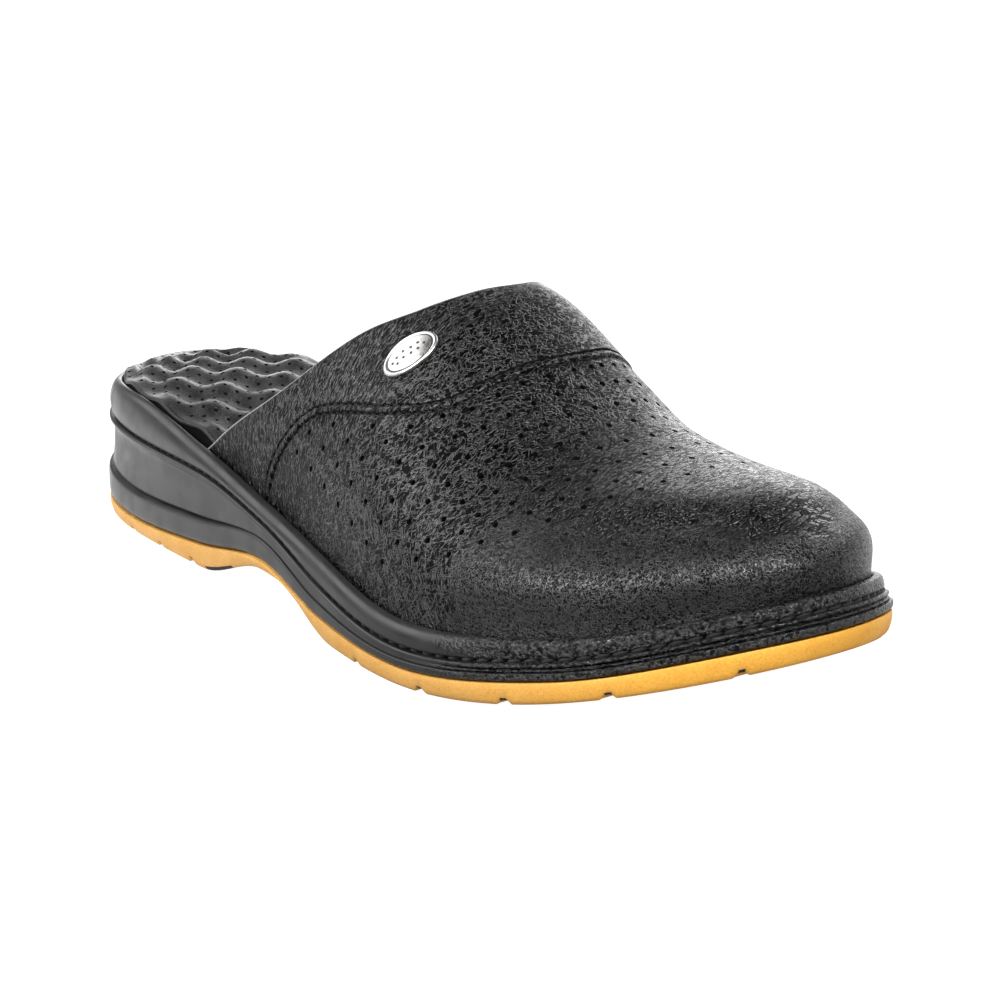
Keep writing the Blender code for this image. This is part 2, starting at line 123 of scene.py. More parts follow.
print("last:", LENGTH, "mm long,", len(OUTLINE), "outline points,", len(LAST_RIDGE), "ridge rows")

# %% [markdown]
# ## Curves through tables
# A drawn curve could be a Bezier object, but then its points would have to be read back. Two small functions
# do it in arrays: a closed spline for the outline, and a curve that never swings past its rows for heights.

# %% Curve helpers
CURVE_SAMPLES = 4000


def hermite(u, width, start, end, slope_start, slope_end):
    """Cubic between two ends with given slopes."""
    rise = 3 * u**2 - 2 * u**3
    lead, trail = u**3 - 2 * u**2 + u, u**3 - u**2
    return start * (1 - rise) + end * rise + width * (lead * slope_start + trail * slope_end)


def closed_curve(points, count):
    """Smooth closed curve through the points."""
    points = np.array(points, float)
    total = len(points)
    step = np.linalg.norm(np.roll(points, -1, 0) - points, axis=1) ** 0.5
    knots = np.concatenate([[0.0], np.cumsum(step)])
    system, pull = np.zeros((total, total)), np.zeros((total, 2))
    for i in range(total):
        before, after, following = step[i - 1], step[i], (i + 1) % total
        system[i, i - 1] += 1 / before
        system[i, i] += 2 / before + 2 / after
        system[i, following] += 1 / after
        pull[i] = 3 * (points[i] - points[i - 1]) / before**2
        pull[i] += 3 * (points[following] - points[i]) / after**2
    slopes = np.linalg.solve(system, pull)
    places = np.linspace(0, knots[-1], count, endpoint=False)
    k = np.clip(np.searchsorted(knots, places, side="right") - 1, 0, total - 1)
    u = ((places - knots[k]) / step[k])[:, None]
    return hermite(u, step[k][:, None], points[k], points[(k + 1) % total], slopes[k],
                   slopes[(k + 1) % total])


def table_curve(table, column, level_end=False):
    """Function through one column of a table that doesn't swing past its rows."""
    places = np.array([row[0] for row in table], float)
    values = np.array([row[column] for row in table], float)
    width = np.diff(places)
    grade = np.diff(values) / width
    slopes = np.zeros(len(places))
    slopes[0], slopes[-1] = grade[0], 0.0 if level_end else grade[-1]
    for i in range(1, len(places) - 1):
        if grade[i - 1] * grade[i] > 0:
            near, far = 2 * width[i] + width[i - 1], width[i] + 2 * width[i - 1]
            slopes[i] = (near + far) / (near / grade[i - 1] + far / grade[i])

    def value(place):
        place = np.clip(place, places[0], places[-1])
        k = np.clip(np.searchsorted(places, place, side="right") - 1, 0, len(width) - 1)
        u = (place - places[k]) / width[k]
        return hermite(u, width[k], values[k], values[k + 1], slopes[k], slopes[k + 1])

    return value


def ease(value, start, end):
    """Smooth step from 0 at start to 1 at end."""
    u = np.clip((value - start) / (end - start), 0.0, 1.0)
    return u * u * (3 - 2 * u)


curve = closed_curve([row[1:] for row in OUTLINE], CURVE_SAMPLES)
print("outline:", round(float(np.linalg.norm(np.diff(curve, axis=0), axis=1).sum())), "mm round")

# %% [markdown]
# ## Both sides of the sole
# The outline is split at the heel back and the toe tip. Any line on the sole's side is then a place along and
# an inset from the outline, which is how a mould maker would draw it.

# %% Split the outline and read the side lines
tangent = np.roll(curve, -1, 0) - np.roll(curve, 1, 0)
tangent /= np.linalg.norm(tangent, axis=1)[:, None]
outward = np.stack([tangent[:, 1], -tangent[:, 0]], 1)
heel_end, toe_end = curve[:, 0].argmin(), curve[:, 0].argmax()
forward = np.arange(heel_end, heel_end + (toe_end - heel_end) % CURVE_SAMPLES + 1) % CURVE_SAMPLES
homeward = np.arange(toe_end, toe_end + (heel_end - toe_end) % CURVE_SAMPLES + 1)[::-1] % CURVE_SAMPLES
SIDES = {"outer": (curve[forward], outward[forward]), "inner": (curve[homeward], outward[homeward])}
CENTRE = (curve.min(0) + curve.max(0)) / 2
BACK, TIP = curve[heel_end, 0], curve[toe_end, 0]
outsole_top, groove_line, rand_top, ridge_lift = (table_curve(SOLE_LINES, c) for c in (1, 2, 3, 4))


def edge(side, along, inset):
    """Points of the outline at given places along, moved inwards."""
    points, normals = SIDES[side]
    place = np.interp(along, np.maximum.accumulate(points[:, 0]), np.arange(len(points)))
    k = np.clip(place.astype(int), 0, len(points) - 2)
    u = (place - k)[..., None]
    inset = np.broadcast_to(inset, place.shape)[..., None]
    return (points[k] - normals[k] * inset) * (1 - u) + (points[k + 1] - normals[k + 1] * inset) * u


def to_metres(points):
    """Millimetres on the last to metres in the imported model's frame."""
    return (np.asarray(points, float) - [CENTRE[0], CENTRE[1], 0.0]) * METRES


print("centre of the outline:", np.round(CENTRE, 2), "mm")

# %% [markdown]
# ## The surface of the upper
# The upper is pulled over the last, so its outer face is one function of two numbers: a place along, and a
# girth that runs from -1 at the outer side of the sole, over 0 on the ridge, to 1 at the inner side.
# Round the toe the sections fan out from the end of the ridge, as the leather does when it is lasted.

# %% Surface of the last
PIECE_GAP, RECESS_INSET, RECESS_DEPTH, FOOT_INSET = 0.3, 5.0, 4.5, 5.4
LAST_BULGE, BULGE_SPAN = 0.038, 0.7
FAN_START, FAN_END = 205.0, LAST_RIDGE[-1][0]
TOE_BLEND = 258.0
PROBE_ALONG, PROBE_GIRTH = 0.3, 0.003
ridge_across, ridge_height = (table_curve(LAST_RIDGE, c, level_end=True) for c in (1, 2))
fullness = {"outer": table_curve(LAST_RIDGE, 3), "inner": table_curve(LAST_RIDGE, 4)}
collar_edge = {"outer": table_curve(COLLAR_EDGE, 1, True), "inner": table_curve(COLLAR_EDGE, 2, True)}
collar_seam = {"outer": table_curve(COLLAR_SEAM, 1, True), "inner": table_curve(COLLAR_SEAM, 2, True)}


def ridge_place(along):
    """Place on the ridge that a section starts from."""
    reach, travel = TIP - FAN_START, FAN_END - FAN_START
    turn = np.arcsin(np.clip((along - FAN_START) / reach, 0, 1)) * 2 / pi
    fanned = FAN_START + travel * (1 - (1 - turn) ** (reach * pi / 2 / travel))
    return np.where(along < FAN_START, along, fanned)


def last_side(side, along, climb):
    """Outer face of one side of the upper; both sides grow alike towards the toe tip."""
    foot = edge(side, along, FOOT_INSET)
    foot_z = rand_top(foot[..., 0]) - RECESS_DEPTH + PIECE_GAP
    top_x = ridge_place(along)
    top_y, top_z = ridge_across(top_x), ridge_height(top_x)
    middle = (fullness["outer"](top_x) + fullness["inner"](top_x)) / 2
    full = fullness[side](top_x) + (middle - fullness[side](top_x)) * ease(along, TOE_BLEND, TIP)
    angle, power = climb * pi / 2, 2 / (full + (2 - full) * climb**2)
    reach, rise = np.cos(angle).clip(0) ** power, np.sin(angle).clip(0) ** power
    free = rise - RECESS_DEPTH / (top_z - foot_z)
    reach = reach + LAST_BULGE * np.sin(pi * np.clip(free / BULGE_SPAN, 0, 1)) ** 2
    x = top_x + (foot[..., 0] - top_x) * reach
    y = top_y + (foot[..., 1] - top_y) * reach
    return np.stack([x, y, foot_z + (top_z - foot_z) * rise], -1)


def last_surface(along, girth):
    """Point of the upper's outer face at a place along and a girth."""
    along, girth = np.broadcast_arrays(np.asarray(along, float), np.asarray(girth, float))
    climb = 1 - np.abs(girth)
    outer, inner = last_side("outer", along, climb), last_side("inner", along, climb)
    return np.where((girth < 0)[..., None], outer, inner)


def last_directions(along, girth):
    """Unit directions on the upper: towards the toe, over the foot, and out of the leather."""
    ahead = last_surface(along + PROBE_ALONG, girth) - last_surface(along - PROBE_ALONG, girth)
    over = last_surface(along, girth + PROBE_GIRTH) - last_surface(along, girth - PROBE_GIRTH)
    out = np.cross(ahead, over)
    return tuple(way / np.linalg.norm(way, axis=-1)[..., None] for way in (ahead, over, out))


print("instep height over the seam:", round(float(last_surface(COLLAR_SEAM[-1][1], 0.0)[2]), 1), "mm")

# %% [markdown]
# ## From arrays to pieces
# Blender's operators are handy for one shape, but slow for thousands of points. Here a piece is two arrays,
# points and faces, handed to a mesh at once. Each piece then rides on the part's one body, and may stand
# in for the solid it belongs to.

# %% Piece helper
SMOOTH_ANGLE = radians(60)


def make_piece(name, points, faces, materials, face_materials=None, sharp=SMOOTH_ANGLE):
    """Mesh object from millimetre points, smooth but for edges sharper than an angle."""
    mesh = bpy.data.meshes.new(name)
    mesh.from_pydata(to_metres(points).tolist(), [], faces)
    for material in materials:
        mesh.materials.append(material)
    if face_materials is not None:
        mesh.polygons.foreach_set("material_index", np.asarray(face_materials, np.int32))
    mesh.validate()
    mesh.shade_smooth()
    mesh.set_sharp_from_angle(angle=sharp)
    piece = bpy.data.objects.new(name, mesh)
    bpy.context.scene.collection.objects.link(piece)
    return piece


def seat(piece, node=None):
    """Puts a finished piece on the part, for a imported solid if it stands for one."""
    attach(piece, "root")
    if node:
        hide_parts(node)
    piece.data.calc_loop_triangles()
    print(piece.name, "has", len(piece.data.loop_triangles), "triangles")


print("edges past", round(SMOOTH_ANGLE * 180 / pi), "degrees stay sharp")

# %% [markdown]
# ## Camera and floor
# The camera stands where a catalogue photographer would: low, in front of the outer side, with a long lens so
# that the toe isn't swollen. The floor is a white sheet that runs far back behind the shoe, but ends just in
# front of the picture: black leather mirrors what lies there, and a dark room in front gives it depth.

# %% Camera and floor
CAMERA_AZIMUTH, CAMERA_ELEVATION = radians(51.5), radians(15.6)
CAMERA_DISTANCE = 0.680
CAMERA_TARGET = (151.9, 15.1, 23.06)
FOCAL_PIXELS, IMAGE_PIXELS, SENSOR_WIDTH = 2526.0, 1000.0, 36.0
CLIP_START, CLIP_END = 0.01, 50.0
FLOOR_FRONT, FLOOR_BACK, FLOOR_HALF = 0.31, 8.0, 6.0

target = Vector(to_metres(CAMERA_TARGET))
back = Vector((sin(CAMERA_AZIMUTH) * cos(CAMERA_ELEVATION), -cos(CAMERA_AZIMUTH) * cos(CAMERA_ELEVATION),
               sin(CAMERA_ELEVATION)))
camera = bpy.data.objects.new("camera", bpy.data.cameras.new("camera"))
camera.data.sensor_width = SENSOR_WIDTH
camera.data.lens = FOCAL_PIXELS / IMAGE_PIXELS * SENSOR_WIDTH
camera.data.clip_start, camera.data.clip_end = CLIP_START, CLIP_END
camera.location = target + back * CAMERA_DISTANCE
camera.rotation_euler = back.to_track_quat("Z", "Y").to_euler()
bpy.context.scene.collection.objects.link(camera)
bpy.context.scene.camera = camera

floor_mesh = bpy.data.meshes.new("floor")
near = Vector((back.x, back.y, 0.0)).normalized()
aside = Vector((-near.y, near.x, 0.0))
middle = Vector((target.x, target.y, 0.0))
corner_places = (FLOOR_FRONT, -1), (FLOOR_FRONT, 1), (-FLOOR_BACK, 1), (-FLOOR_BACK, -1)
floor_corners = [middle + near * reach + aside * FLOOR_HALF * turn for reach, turn in corner_places]
floor_mesh.from_pydata(floor_corners, [], [(0, 1, 2, 3)])
floor = bpy.data.objects.new("floor", floor_mesh)
bpy.context.scene.collection.objects.link(floor)
print("lens", round(camera.data.lens, 1), "mm at", CAMERA_DISTANCE, "m")

# %% [markdown]
# ## Node helpers
# A material is a small network. These helpers keep each recipe short: one adds a node and fills its inputs
# with numbers or with the outputs of other nodes, the rest wrap the few sums that come up again and again.

# %% Node helpers
def wire(tree, kind, inputs=(), output=0, **options):
    """Adds a node, sets its options, fills its inputs and gives one of its outputs."""
    node = tree.nodes.new("ShaderNode" + kind)
    for name, value in options.items():
        setattr(node, name, value)
    for name, value in dict(inputs).items():
        if isinstance(value, bpy.types.NodeSocket):
            tree.links.new(value, node.inputs[name])
        else:
            node.inputs[name].default_value = value
    return node.outputs[output]


def sums(tree, operation, first, second=0.0):
    """One step of arithmetic on two numbers or outputs."""
    return wire(tree, "Math", {0: first, 1: second}, operation=operation)


def times(tree, first, second):
    """Product of two numbers or outputs."""
    return sums(tree, "MULTIPLY", first, second)


def remap(tree, value, low, high, to_low=0.0, to_high=1.0):
    """Stretches a range of an output softly onto another range."""
    ends = {0: value, 1: low, 2: high, 3: to_low, 4: to_high}
    return wire(tree, "MapRange", ends, interpolation_type="SMOOTHSTEP")


def blend(tree, share, first, second):
    """Mixes two numbers by a share."""
    return wire(tree, "Mix", {0: share, 2: first, 3: second}, data_type="FLOAT")


def tint(tree, share, first, second):
    """Mixes two colours, or outputs that hold colours, by a share."""
    first, second = ((*colour, 1.0) if isinstance(colour, tuple) else colour for colour in (first, second))
    return wire(tree, "Mix", {0: share, 6: first, 7: second}, output=2, data_type="RGBA")


def paint(tree, shader, share, first, second):
    """Gives a shader a mix of two colours."""
    tree.links.new(tint(tree, share, first, second), shader.inputs["Base Color"])


def new_finish(name, roughness, **shader_values):
    """Material with its tree, its shader and the object's own coordinates in millimetres."""
    material = bpy.data.materials.new(name)
    material.use_nodes = True
    tree = material.node_tree
    shader = tree.nodes["Principled BSDF"]
    shader.inputs["Roughness"].default_value = roughness
    for socket, value in shader_values.items():
        shader.inputs[socket.replace("_", " ")].default_value = value
    place = wire(tree, "TexCoord", output="Object")
    spot = wire(tree, "VectorMath", {0: place, "Scale": 1 / METRES}, operation="SCALE")
    return material, tree, shader, spot


def stretched(tree, spot, cell, turn=(0, 0, 0)):
    """Coordinates in which a cell of the given millimetres, turned by degrees about the axes, is one unit."""
    turn = [radians(angle) for angle in turn]
    return wire(tree, "Mapping", {"Vector": spot, "Rotation": turn, "Scale": cell}, vector_type="TEXTURE")


def noise(tree, spot, size, detail=2.0, roughness=0.5, output="Fac"):
    """Soft random pattern whose features are about that many millimetres."""
    inputs = {"Vector": spot, "Scale": 1 / size, "Detail": detail, "Roughness": roughness}
    return wire(tree, "TexNoise", inputs, output=output)


def raise_surface(tree, shader, height):
    """Bump from a height in millimetres."""
    bump = wire(tree, "Bump", {"Height": height, "Distance": METRES, "Strength": 1.0}, output="Normal")
    tree.links.new(bump, shader.inputs["Normal"])


def coordinate(tree, spot, axis):
    """One coordinate of a spot."""
    return wire(tree, "SeparateXYZ", {0: spot}, output=axis)


print("node helpers ready")

# %% [markdown]
# ## Leather
# The upper is black leather with a tumbled grain, and it changes with the pull of the last. On the quarters
# it is drawn into narrow upright lozenges. On the vamp it is a loose web of thin raised wrinkles that cross
# each other. On top of the toe, where the shoe flexes, dark folds lie side by side, and low round the toe the
# grain is fine and nearly flat, so that the rolls there shine.
# A picture could give this, but a procedural grain has no seams and needs no unwrapping. Thin lines run where
# a soft, stretched noise crosses its middle, and two or three such sets laid over each other make a net.
# The ground between the lines is duller as well as lower, because hardly any light gets out of it.

# %% Leather finish
GRAIN_NETS = {
    # zone: cell in mm, half width of lines, turns of the sets in degrees, height in mm, fine share, shade
    "quarter": ((0.8, 3.6, 4.0), 0.06, ((0, -13, 0), (0, 9, 0)), 0.15, 0.2, 1.0),
    "vamp": ((1.15, 3.0, 4.6), 0.047, ((0, -34, 0), (0, 20, 0), (0, 68, 0)), 0.09, 0.3, 1.0),
    "toe top": ((0.95, 4.2, 1.5), 0.085, ((0, 0, -16), (0, 0, 12)), -0.2, 0.15, 1.0),
    "low toe": ((0.65, 1.5, 1.5), 0.047, ((0, -34, 20), (0, 24, 0), (0, 80, -20)), 0.045, 0.25, 0.82),
}
FINE_CELL, FINE_HEIGHT = (0.4, 0.45, 0.4), 0.025
SWELL_SIZE, SWELL_HEIGHT = 1.7, 0.035
WANDER_SIZE, WANDER_REACH = 5.0, 1.3
SHINE_SPAN, DULL, ROUGHNESS = (0.2, 0.8), (0.98, 0.0), (0.44, 0.25)
VAMP_START, VAMP_LEAN, TOE_GRAIN_START, TOE_TOP_HIGH = (112.0, 138.0), 0.6, (206.0, 226.0), (38.0, 46.0)
BORDER_SIZE, BORDER_LOOSENESS, BORDER_SPAN = 16.0, 0.4, (0.2, 0.8)
LEATHER_BLACKS = (0.0035, 0.0035, 0.004), (0.006, 0.006, 0.0066)


def from_middle(along):
    """Millimetres from the middle of the shoe, where the coordinates start, to a place along."""
    return float(along - CENTRE[0])


def line_net(tree, spot, cell, half, turns):
    """Thin wandering lines that cross: 1 on the lines and 0 between them."""
    net = 0.0
    for turn in turns:
        pattern = noise(tree, stretched(tree, spot, cell, turn), 1.0, 1.0)
        off = sums(tree, "ABSOLUTE", sums(tree, "SUBTRACT", pattern, 0.5))
        net = sums(tree, "MAXIMUM", remap(tree, off, 0.0, half, 1.0, 0.0), net)
    return net


def grain_shares(tree, spot):
    """Shares of the vamp, of the toe's top and of the low toe, with loose borders."""
    x = coordinate(tree, spot, "X")
    z = coordinate(tree, spot, "Z")
    loose = remap(tree, noise(tree, spot, BORDER_SIZE), 0.3, 0.7, -BORDER_LOOSENESS, BORDER_LOOSENESS)
    lean = sums(tree, "SUBTRACT", x, times(tree, z, VAMP_LEAN))
    vamp_start, toe_start = map(from_middle, VAMP_START), map(from_middle, TOE_GRAIN_START)
    shares = []
    for start in ((lean, *vamp_start), (x, *toe_start), (z, *TOE_TOP_HIGH)):
        shares.append(remap(tree, sums(tree, "ADD", remap(tree, *start), loose), *BORDER_SPAN))
    vamp, toe, top = shares
    high = times(tree, toe, top)
    return {"vamp": vamp, "toe top": high, "low toe": sums(tree, "SUBTRACT", toe, high)}


def leather_finish():
    material, tree, shader, spot = new_finish("black_leather", 0.3, Specular_IOR_Level=1.0)
    shift = noise(tree, spot, WANDER_SIZE, output="Color")
    shift = wire(tree, "VectorMath", {0: shift, 1: (0.5, 0.5, 0.5)}, operation="SUBTRACT")
    shift = wire(tree, "VectorMath", {0: shift, "Scale": WANDER_REACH}, operation="SCALE")
    wander = wire(tree, "VectorMath", {0: spot, 1: shift}, operation="ADD")
    fine = remap(tree, noise(tree, stretched(tree, wander, FINE_CELL), 1.0, 3.0, 0.6), 0.3, 0.7)
    shares = grain_shares(tree, spot)
    shine, height = None, None
    for zone, (cell, half, turns, rise, fine_share, shade) in GRAIN_NETS.items():
        net = line_net(tree, wander, cell, half, turns)
        bright = net if rise > 0 else sums(tree, "SUBTRACT", 1.0, net)
        bright = blend(tree, shade, 1.0, blend(tree, fine_share, bright, fine))
        raised = times(tree, net, rise)
        shine = bright if shine is None else blend(tree, shares[zone], shine, bright)
        height = raised if height is None else blend(tree, shares[zone], height, raised)
    for pattern, depth in ((noise(tree, spot, SWELL_SIZE, 1.0), SWELL_HEIGHT), (fine, FINE_HEIGHT)):
        height = sums(tree, "ADD", height, times(tree, pattern, depth))
    raise_surface(tree, shader, height)
    tree.links.new(remap(tree, shine, *SHINE_SPAN, *DULL), shader.inputs["Metallic"])
    tree.links.new(remap(tree, shine, *SHINE_SPAN, *ROUGHNESS), shader.inputs["Roughness"])
    cloud = remap(tree, noise(tree, spot, 11.0, 3.0), 0.35, 0.7)
    paint(tree, shader, cloud, *LEATHER_BLACKS)
    return material


leather = leather_finish()
print("leather grain in", len(GRAIN_NETS), "zones")

# %% [markdown]
# ## Cut edge, lining and thread
# At the collar the leather is cut and left raw: the cut shows as a thin pale grey line, partly the edge's own
# colour and partly a painted highlight. Inside lies a napped lining, and the seam is sewn with black thread.
# The thread gets a fine twist from stripes in its bump.
# Raw fibres, the painted shade of recesses and the painted shade on the rubber need only one random pattern
# for relief and colour, so one function makes them all.

# %% Cut edge, lining and thread finishes
PATTERN_SPAN = (0.3, 0.7)


def one_pattern_finish(name, roughness, pattern, relief, colours, span=(), gloss=(), **shader_values):
    """Finish from one noise, given by its cell, detail and roughness; a span sharpens its colours."""
    material, tree, shader, spot = new_finish(name, roughness, **shader_values)
    cell, *rest = pattern
    if isinstance(cell, tuple):
        spot, cell = stretched(tree, spot, cell), 1.0
    mottle = noise(tree, spot, cell, *rest)
    raise_surface(tree, shader, times(tree, mottle, relief))
    paint(tree, shader, remap(tree, mottle, *span) if span else mottle, *colours)
    if gloss:
        tree.links.new(remap(tree, mottle, *PATTERN_SPAN, *gloss), shader.inputs["Roughness"])
    return material


def lining_finish():
    material, tree, shader, spot = new_finish("napped_lining", 0.85, Sheen_Weight=0.3, Sheen_Roughness=0.5)
    nap = noise(tree, spot, 0.5, 5.0, 0.7)
    raise_surface(tree, shader, times(tree, nap, 0.12))
    drift = remap(tree, noise(tree, spot, 14.0, 3.0), 0.35, 0.65)
    paint(tree, shader, drift, (0.012, 0.012, 0.013), (0.022, 0.022, 0.024))
    return material


def thread_finish():
    material, tree, shader, spot = new_finish("black_thread", 0.55, Sheen_Weight=0.05)
    twist = wire(tree, "TexWave", {"Vector": spot, "Scale": 3.4, "Distortion": 1.5, "Detail": 1.0})
    raise_surface(tree, shader, times(tree, twist, 0.05))
    paint(tree, shader, twist, (0.002, 0.002, 0.0022), (0.008, 0.008, 0.0085))
    return material


lining, thread = lining_finish(), thread_finish()
# Partly painted highlight: the pale grey of the collar's cut edge also stands in for the light along it.
raw_edge_and_highlight = one_pattern_finish("raw_edge_and_painted_highlight", 0.62, ((0.5, 0.25, 0.25), 4.0), 0.08,
                              ((0.16, 0.16, 0.165), (0.34, 0.34, 0.35)), PATTERN_SPAN)
# Painted shade: near-black finish for hole walls, stitch-trough floors and the footbed's hidden edge.
recess = one_pattern_finish("recess_painted_shade", 0.9, (0.4, 4.0, 0.7), 0.1,
                            ((0.0008, 0.0008, 0.0009), (0.003, 0.003, 0.0032)), Specular_IOR_Level=0.15)
print("edge, lining and thread finishes ready")

# %% [markdown]
# ## Moulded sole finishes
# The midsole is foamed in a mould, so its skin is smooth and satin, with a slight cloud where the foam met
# the steel. Round the toe it has a coarse grain that glints on its high ground and stays dark in its low
# ground, as on the leather. The outsole is honey-amber rubber, paler at the waist and deeper at the toe, with
# a fine sanded speckle.

# %% Midsole and outsole finishes
TOE_GRAIN, TOE_GRAIN_HEIGHT, TOE_GLOSS = (205.0, 240.0), 0.3, 0.16
FOAM_SKIN_HEIGHT, FOAM_ROUGHNESS, FOAM_COAT = 0.025, (0.33, 0.46), 0.1
FOAM_BLACKS = (0.004, 0.004, 0.0044), (0.008, 0.008, 0.0086)
HONEY_DEEPENS = (212.0, 276.0)
HONEY, DARK_HONEY = ((0.64, 0.35, 0.085), (0.75, 0.38, 0.046)), ((0.46, 0.205, 0.026), (0.55, 0.22, 0.012))
SPECKLE_SHARE, STAIN_SHARE = 0.75, 0.25


def midsole_finish():
    material, tree, shader, spot = new_finish(
        "moulded_black_foam", 0.4, Specular_IOR_Level=0.7, Coat_Weight=FOAM_COAT, Coat_Roughness=0.14)
    x = coordinate(tree, spot, "X")
    toe = remap(tree, x, *map(from_middle, TOE_GRAIN))
    skin = noise(tree, spot, 0.45, 3.0)
    grain = remap(tree, noise(tree, spot, 1.0, 3.0, 0.6), 0.35, 0.65)
    cloud = remap(tree, noise(tree, spot, 9.0, 4.0), 0.3, 0.7)
    toe_grain = times(tree, times(tree, grain, toe), TOE_GRAIN_HEIGHT)
    raise_surface(tree, shader, sums(tree, "ADD", times(tree, skin, FOAM_SKIN_HEIGHT), toe_grain))
    dull = remap(tree, cloud, 0.0, 1.0, *FOAM_ROUGHNESS)
    dull = sums(tree, "SUBTRACT", dull, times(tree, toe, TOE_GLOSS))
    tree.links.new(dull, shader.inputs["Roughness"])
    tree.links.new(remap(tree, toe, 0.0, 1.0, FOAM_COAT, 0.0), shader.inputs["Coat Weight"])
    low_ground = times(tree, toe, remap(tree, grain, 0.1, 0.6, 0.85, 0.0))
    tree.links.new(low_ground, shader.inputs["Metallic"])
    paint(tree, shader, cloud, *FOAM_BLACKS)
    return material


def outsole_finish():
    material, tree, shader, spot = new_finish("honey_rubber", 0.55)
    x = coordinate(tree, spot, "X")
    toe = remap(tree, x, *map(from_middle, HONEY_DEEPENS))
    speckle = noise(tree, spot, 0.5, 4.0, 0.75)
    stain = remap(tree, noise(tree, spot, 7.0, 4.0), 0.35, 0.7)
    darker = tint(tree, toe, *DARK_HONEY)
    speckled = times(tree, remap(tree, speckle, 0.4, 0.7), SPECKLE_SHARE)
    colour = tint(tree, speckled, tint(tree, toe, *HONEY), darker)
    paint(tree, shader, times(tree, stain, STAIN_SHARE), colour, darker)
    raise_surface(tree, shader, times(tree, speckle, 0.06))
    tree.links.new(remap(tree, stain, 0.0, 1.0, 0.5, 0.62), shader.inputs["Roughness"])
    return material


foam, rubber = midsole_finish(), outsole_finish()
# Painted shade: dark brown rubber for the tread notches and the heel breast stands in for their shadow.
rubber_painted_shade = one_pattern_finish("rubber_painted_shade", 0.8, (1.5, 4.0, 0.7), 0.1,
                                   ((0.004, 0.002, 0.001), (0.03, 0.013, 0.004)), PATTERN_SPAN)
print("sole finishes ready")

# %% [markdown]
# ## Rings stacked into a sole
# Outsole, midsole and insole are all stacks of rings: each ring is the outline with an inset and a height at
# every station. A lathe or a skin modifier couldn't follow a shoe's outline, but rings of equal count can be
# joined face by face, and a cap closes the stack below and above.

# %% Ring stack
ROUND_HEEL, ROUND_TOE = 34.0, 232.0
PLAIN_COLUMNS = 4


def stations_along(heel, middle, toe):
    """Places along the sole, closer together on the round heel and toe."""
    back_part = BACK + (ROUND_HEEL - BACK) * (1 - np.cos(np.linspace(0, pi / 2, heel + 1)))
    middle_part = np.linspace(ROUND_HEEL, ROUND_TOE, middle + 1)[1:]
    toe_part = ROUND_TOE + (TIP - ROUND_TOE) * np.sin(np.linspace(0, pi / 2, toe + 1))[1:]
    return np.concatenate([back_part, middle_part, toe_part])


def ring_loop(stations, inset, height):
    """Closed ring: the outer side towards the toe, then the inner side back to the heel."""
    insets = inset if isinstance(inset, tuple) else (inset, inset)
    outer, inner = (edge(side, stations, part) for side, part in zip(SIDES, insets))
    loop = np.concatenate([outer, inner[-2:0:-1]])
    return np.column_stack([loop, height(loop[:, 0], np.concatenate([stations, stations[-2:0:-1]]))])


def stack_faces(rings, count):
    """Quads between neighbouring rings of equal count."""
    low = np.arange(count)
    quad = np.stack([low, (low + 1) % count, (low + 1) % count + count, low + count], 1)
    return (quad[None] + (np.arange(rings - 1) * count)[:, None, None]).reshape(-1, 4).tolist()


def cap_grid(points, first, stations, columns, height, downward):
    """Points and faces across a ring that starts at index first, raised to a height."""
    count, last = 2 * (len(stations) - 1), len(stations) - 1
    added, faces, rows = [], [], [[first] * (columns + 1)]
    for i in range(1, last):
        start, end = points[first + i], points[first + count - i]
        share = np.arange(1, columns) / columns
        inside = start + (end - start) * share[:, None]
        inside[:, 2] = height(inside[:, 0], stations[i], share)
        ids = len(points) + len(added) + np.arange(columns - 1)
        rows.append([first + i, *ids.tolist(), first + count - i])
        added.extend(inside)
    rows.append([first + last] * (columns + 1))
    for low, high in zip(rows, rows[1:]):
        for j in range(columns):
            corners = low[j], high[j], high[j + 1], low[j + 1]
            face = tuple(dict.fromkeys(corners))
            faces.append(face[::-1] if downward else face)
    return np.array(added), faces


def capped_stack(rings, stations, below, above):
    """Points of a closed stack, and its faces: sides, cap below, cap above. A cap is columns and a height."""
    points, count = np.concatenate(rings), len(rings[0])
    faces = [stack_faces(len(rings), count)]
    for first, cap, downward in ((0, below, True), ((len(rings) - 1) * count, above, False)):
        added, cap_faces = cap_grid(points, first, stations, *cap, downward)
        points = np.concatenate([points, added])
        faces.append(cap_faces)
    return points, faces


print("rings are denser behind", ROUND_HEEL, "mm and past", ROUND_TOE, "mm")

# %% [markdown]
# ## Outsole
# The outsole is a rubber unit with a bevelled lower edge. Tread grooves run across it and come out at its
# side as small notches, painted dark as the shade inside them; the low edge under the heel breast is painted
# dark as the shadow under the arch. It stands flat under heel and ball, arches at the waist and springs up at
# the toe. The notches could be cut with a Boolean, but stations set close to each groove keep the mesh clean.

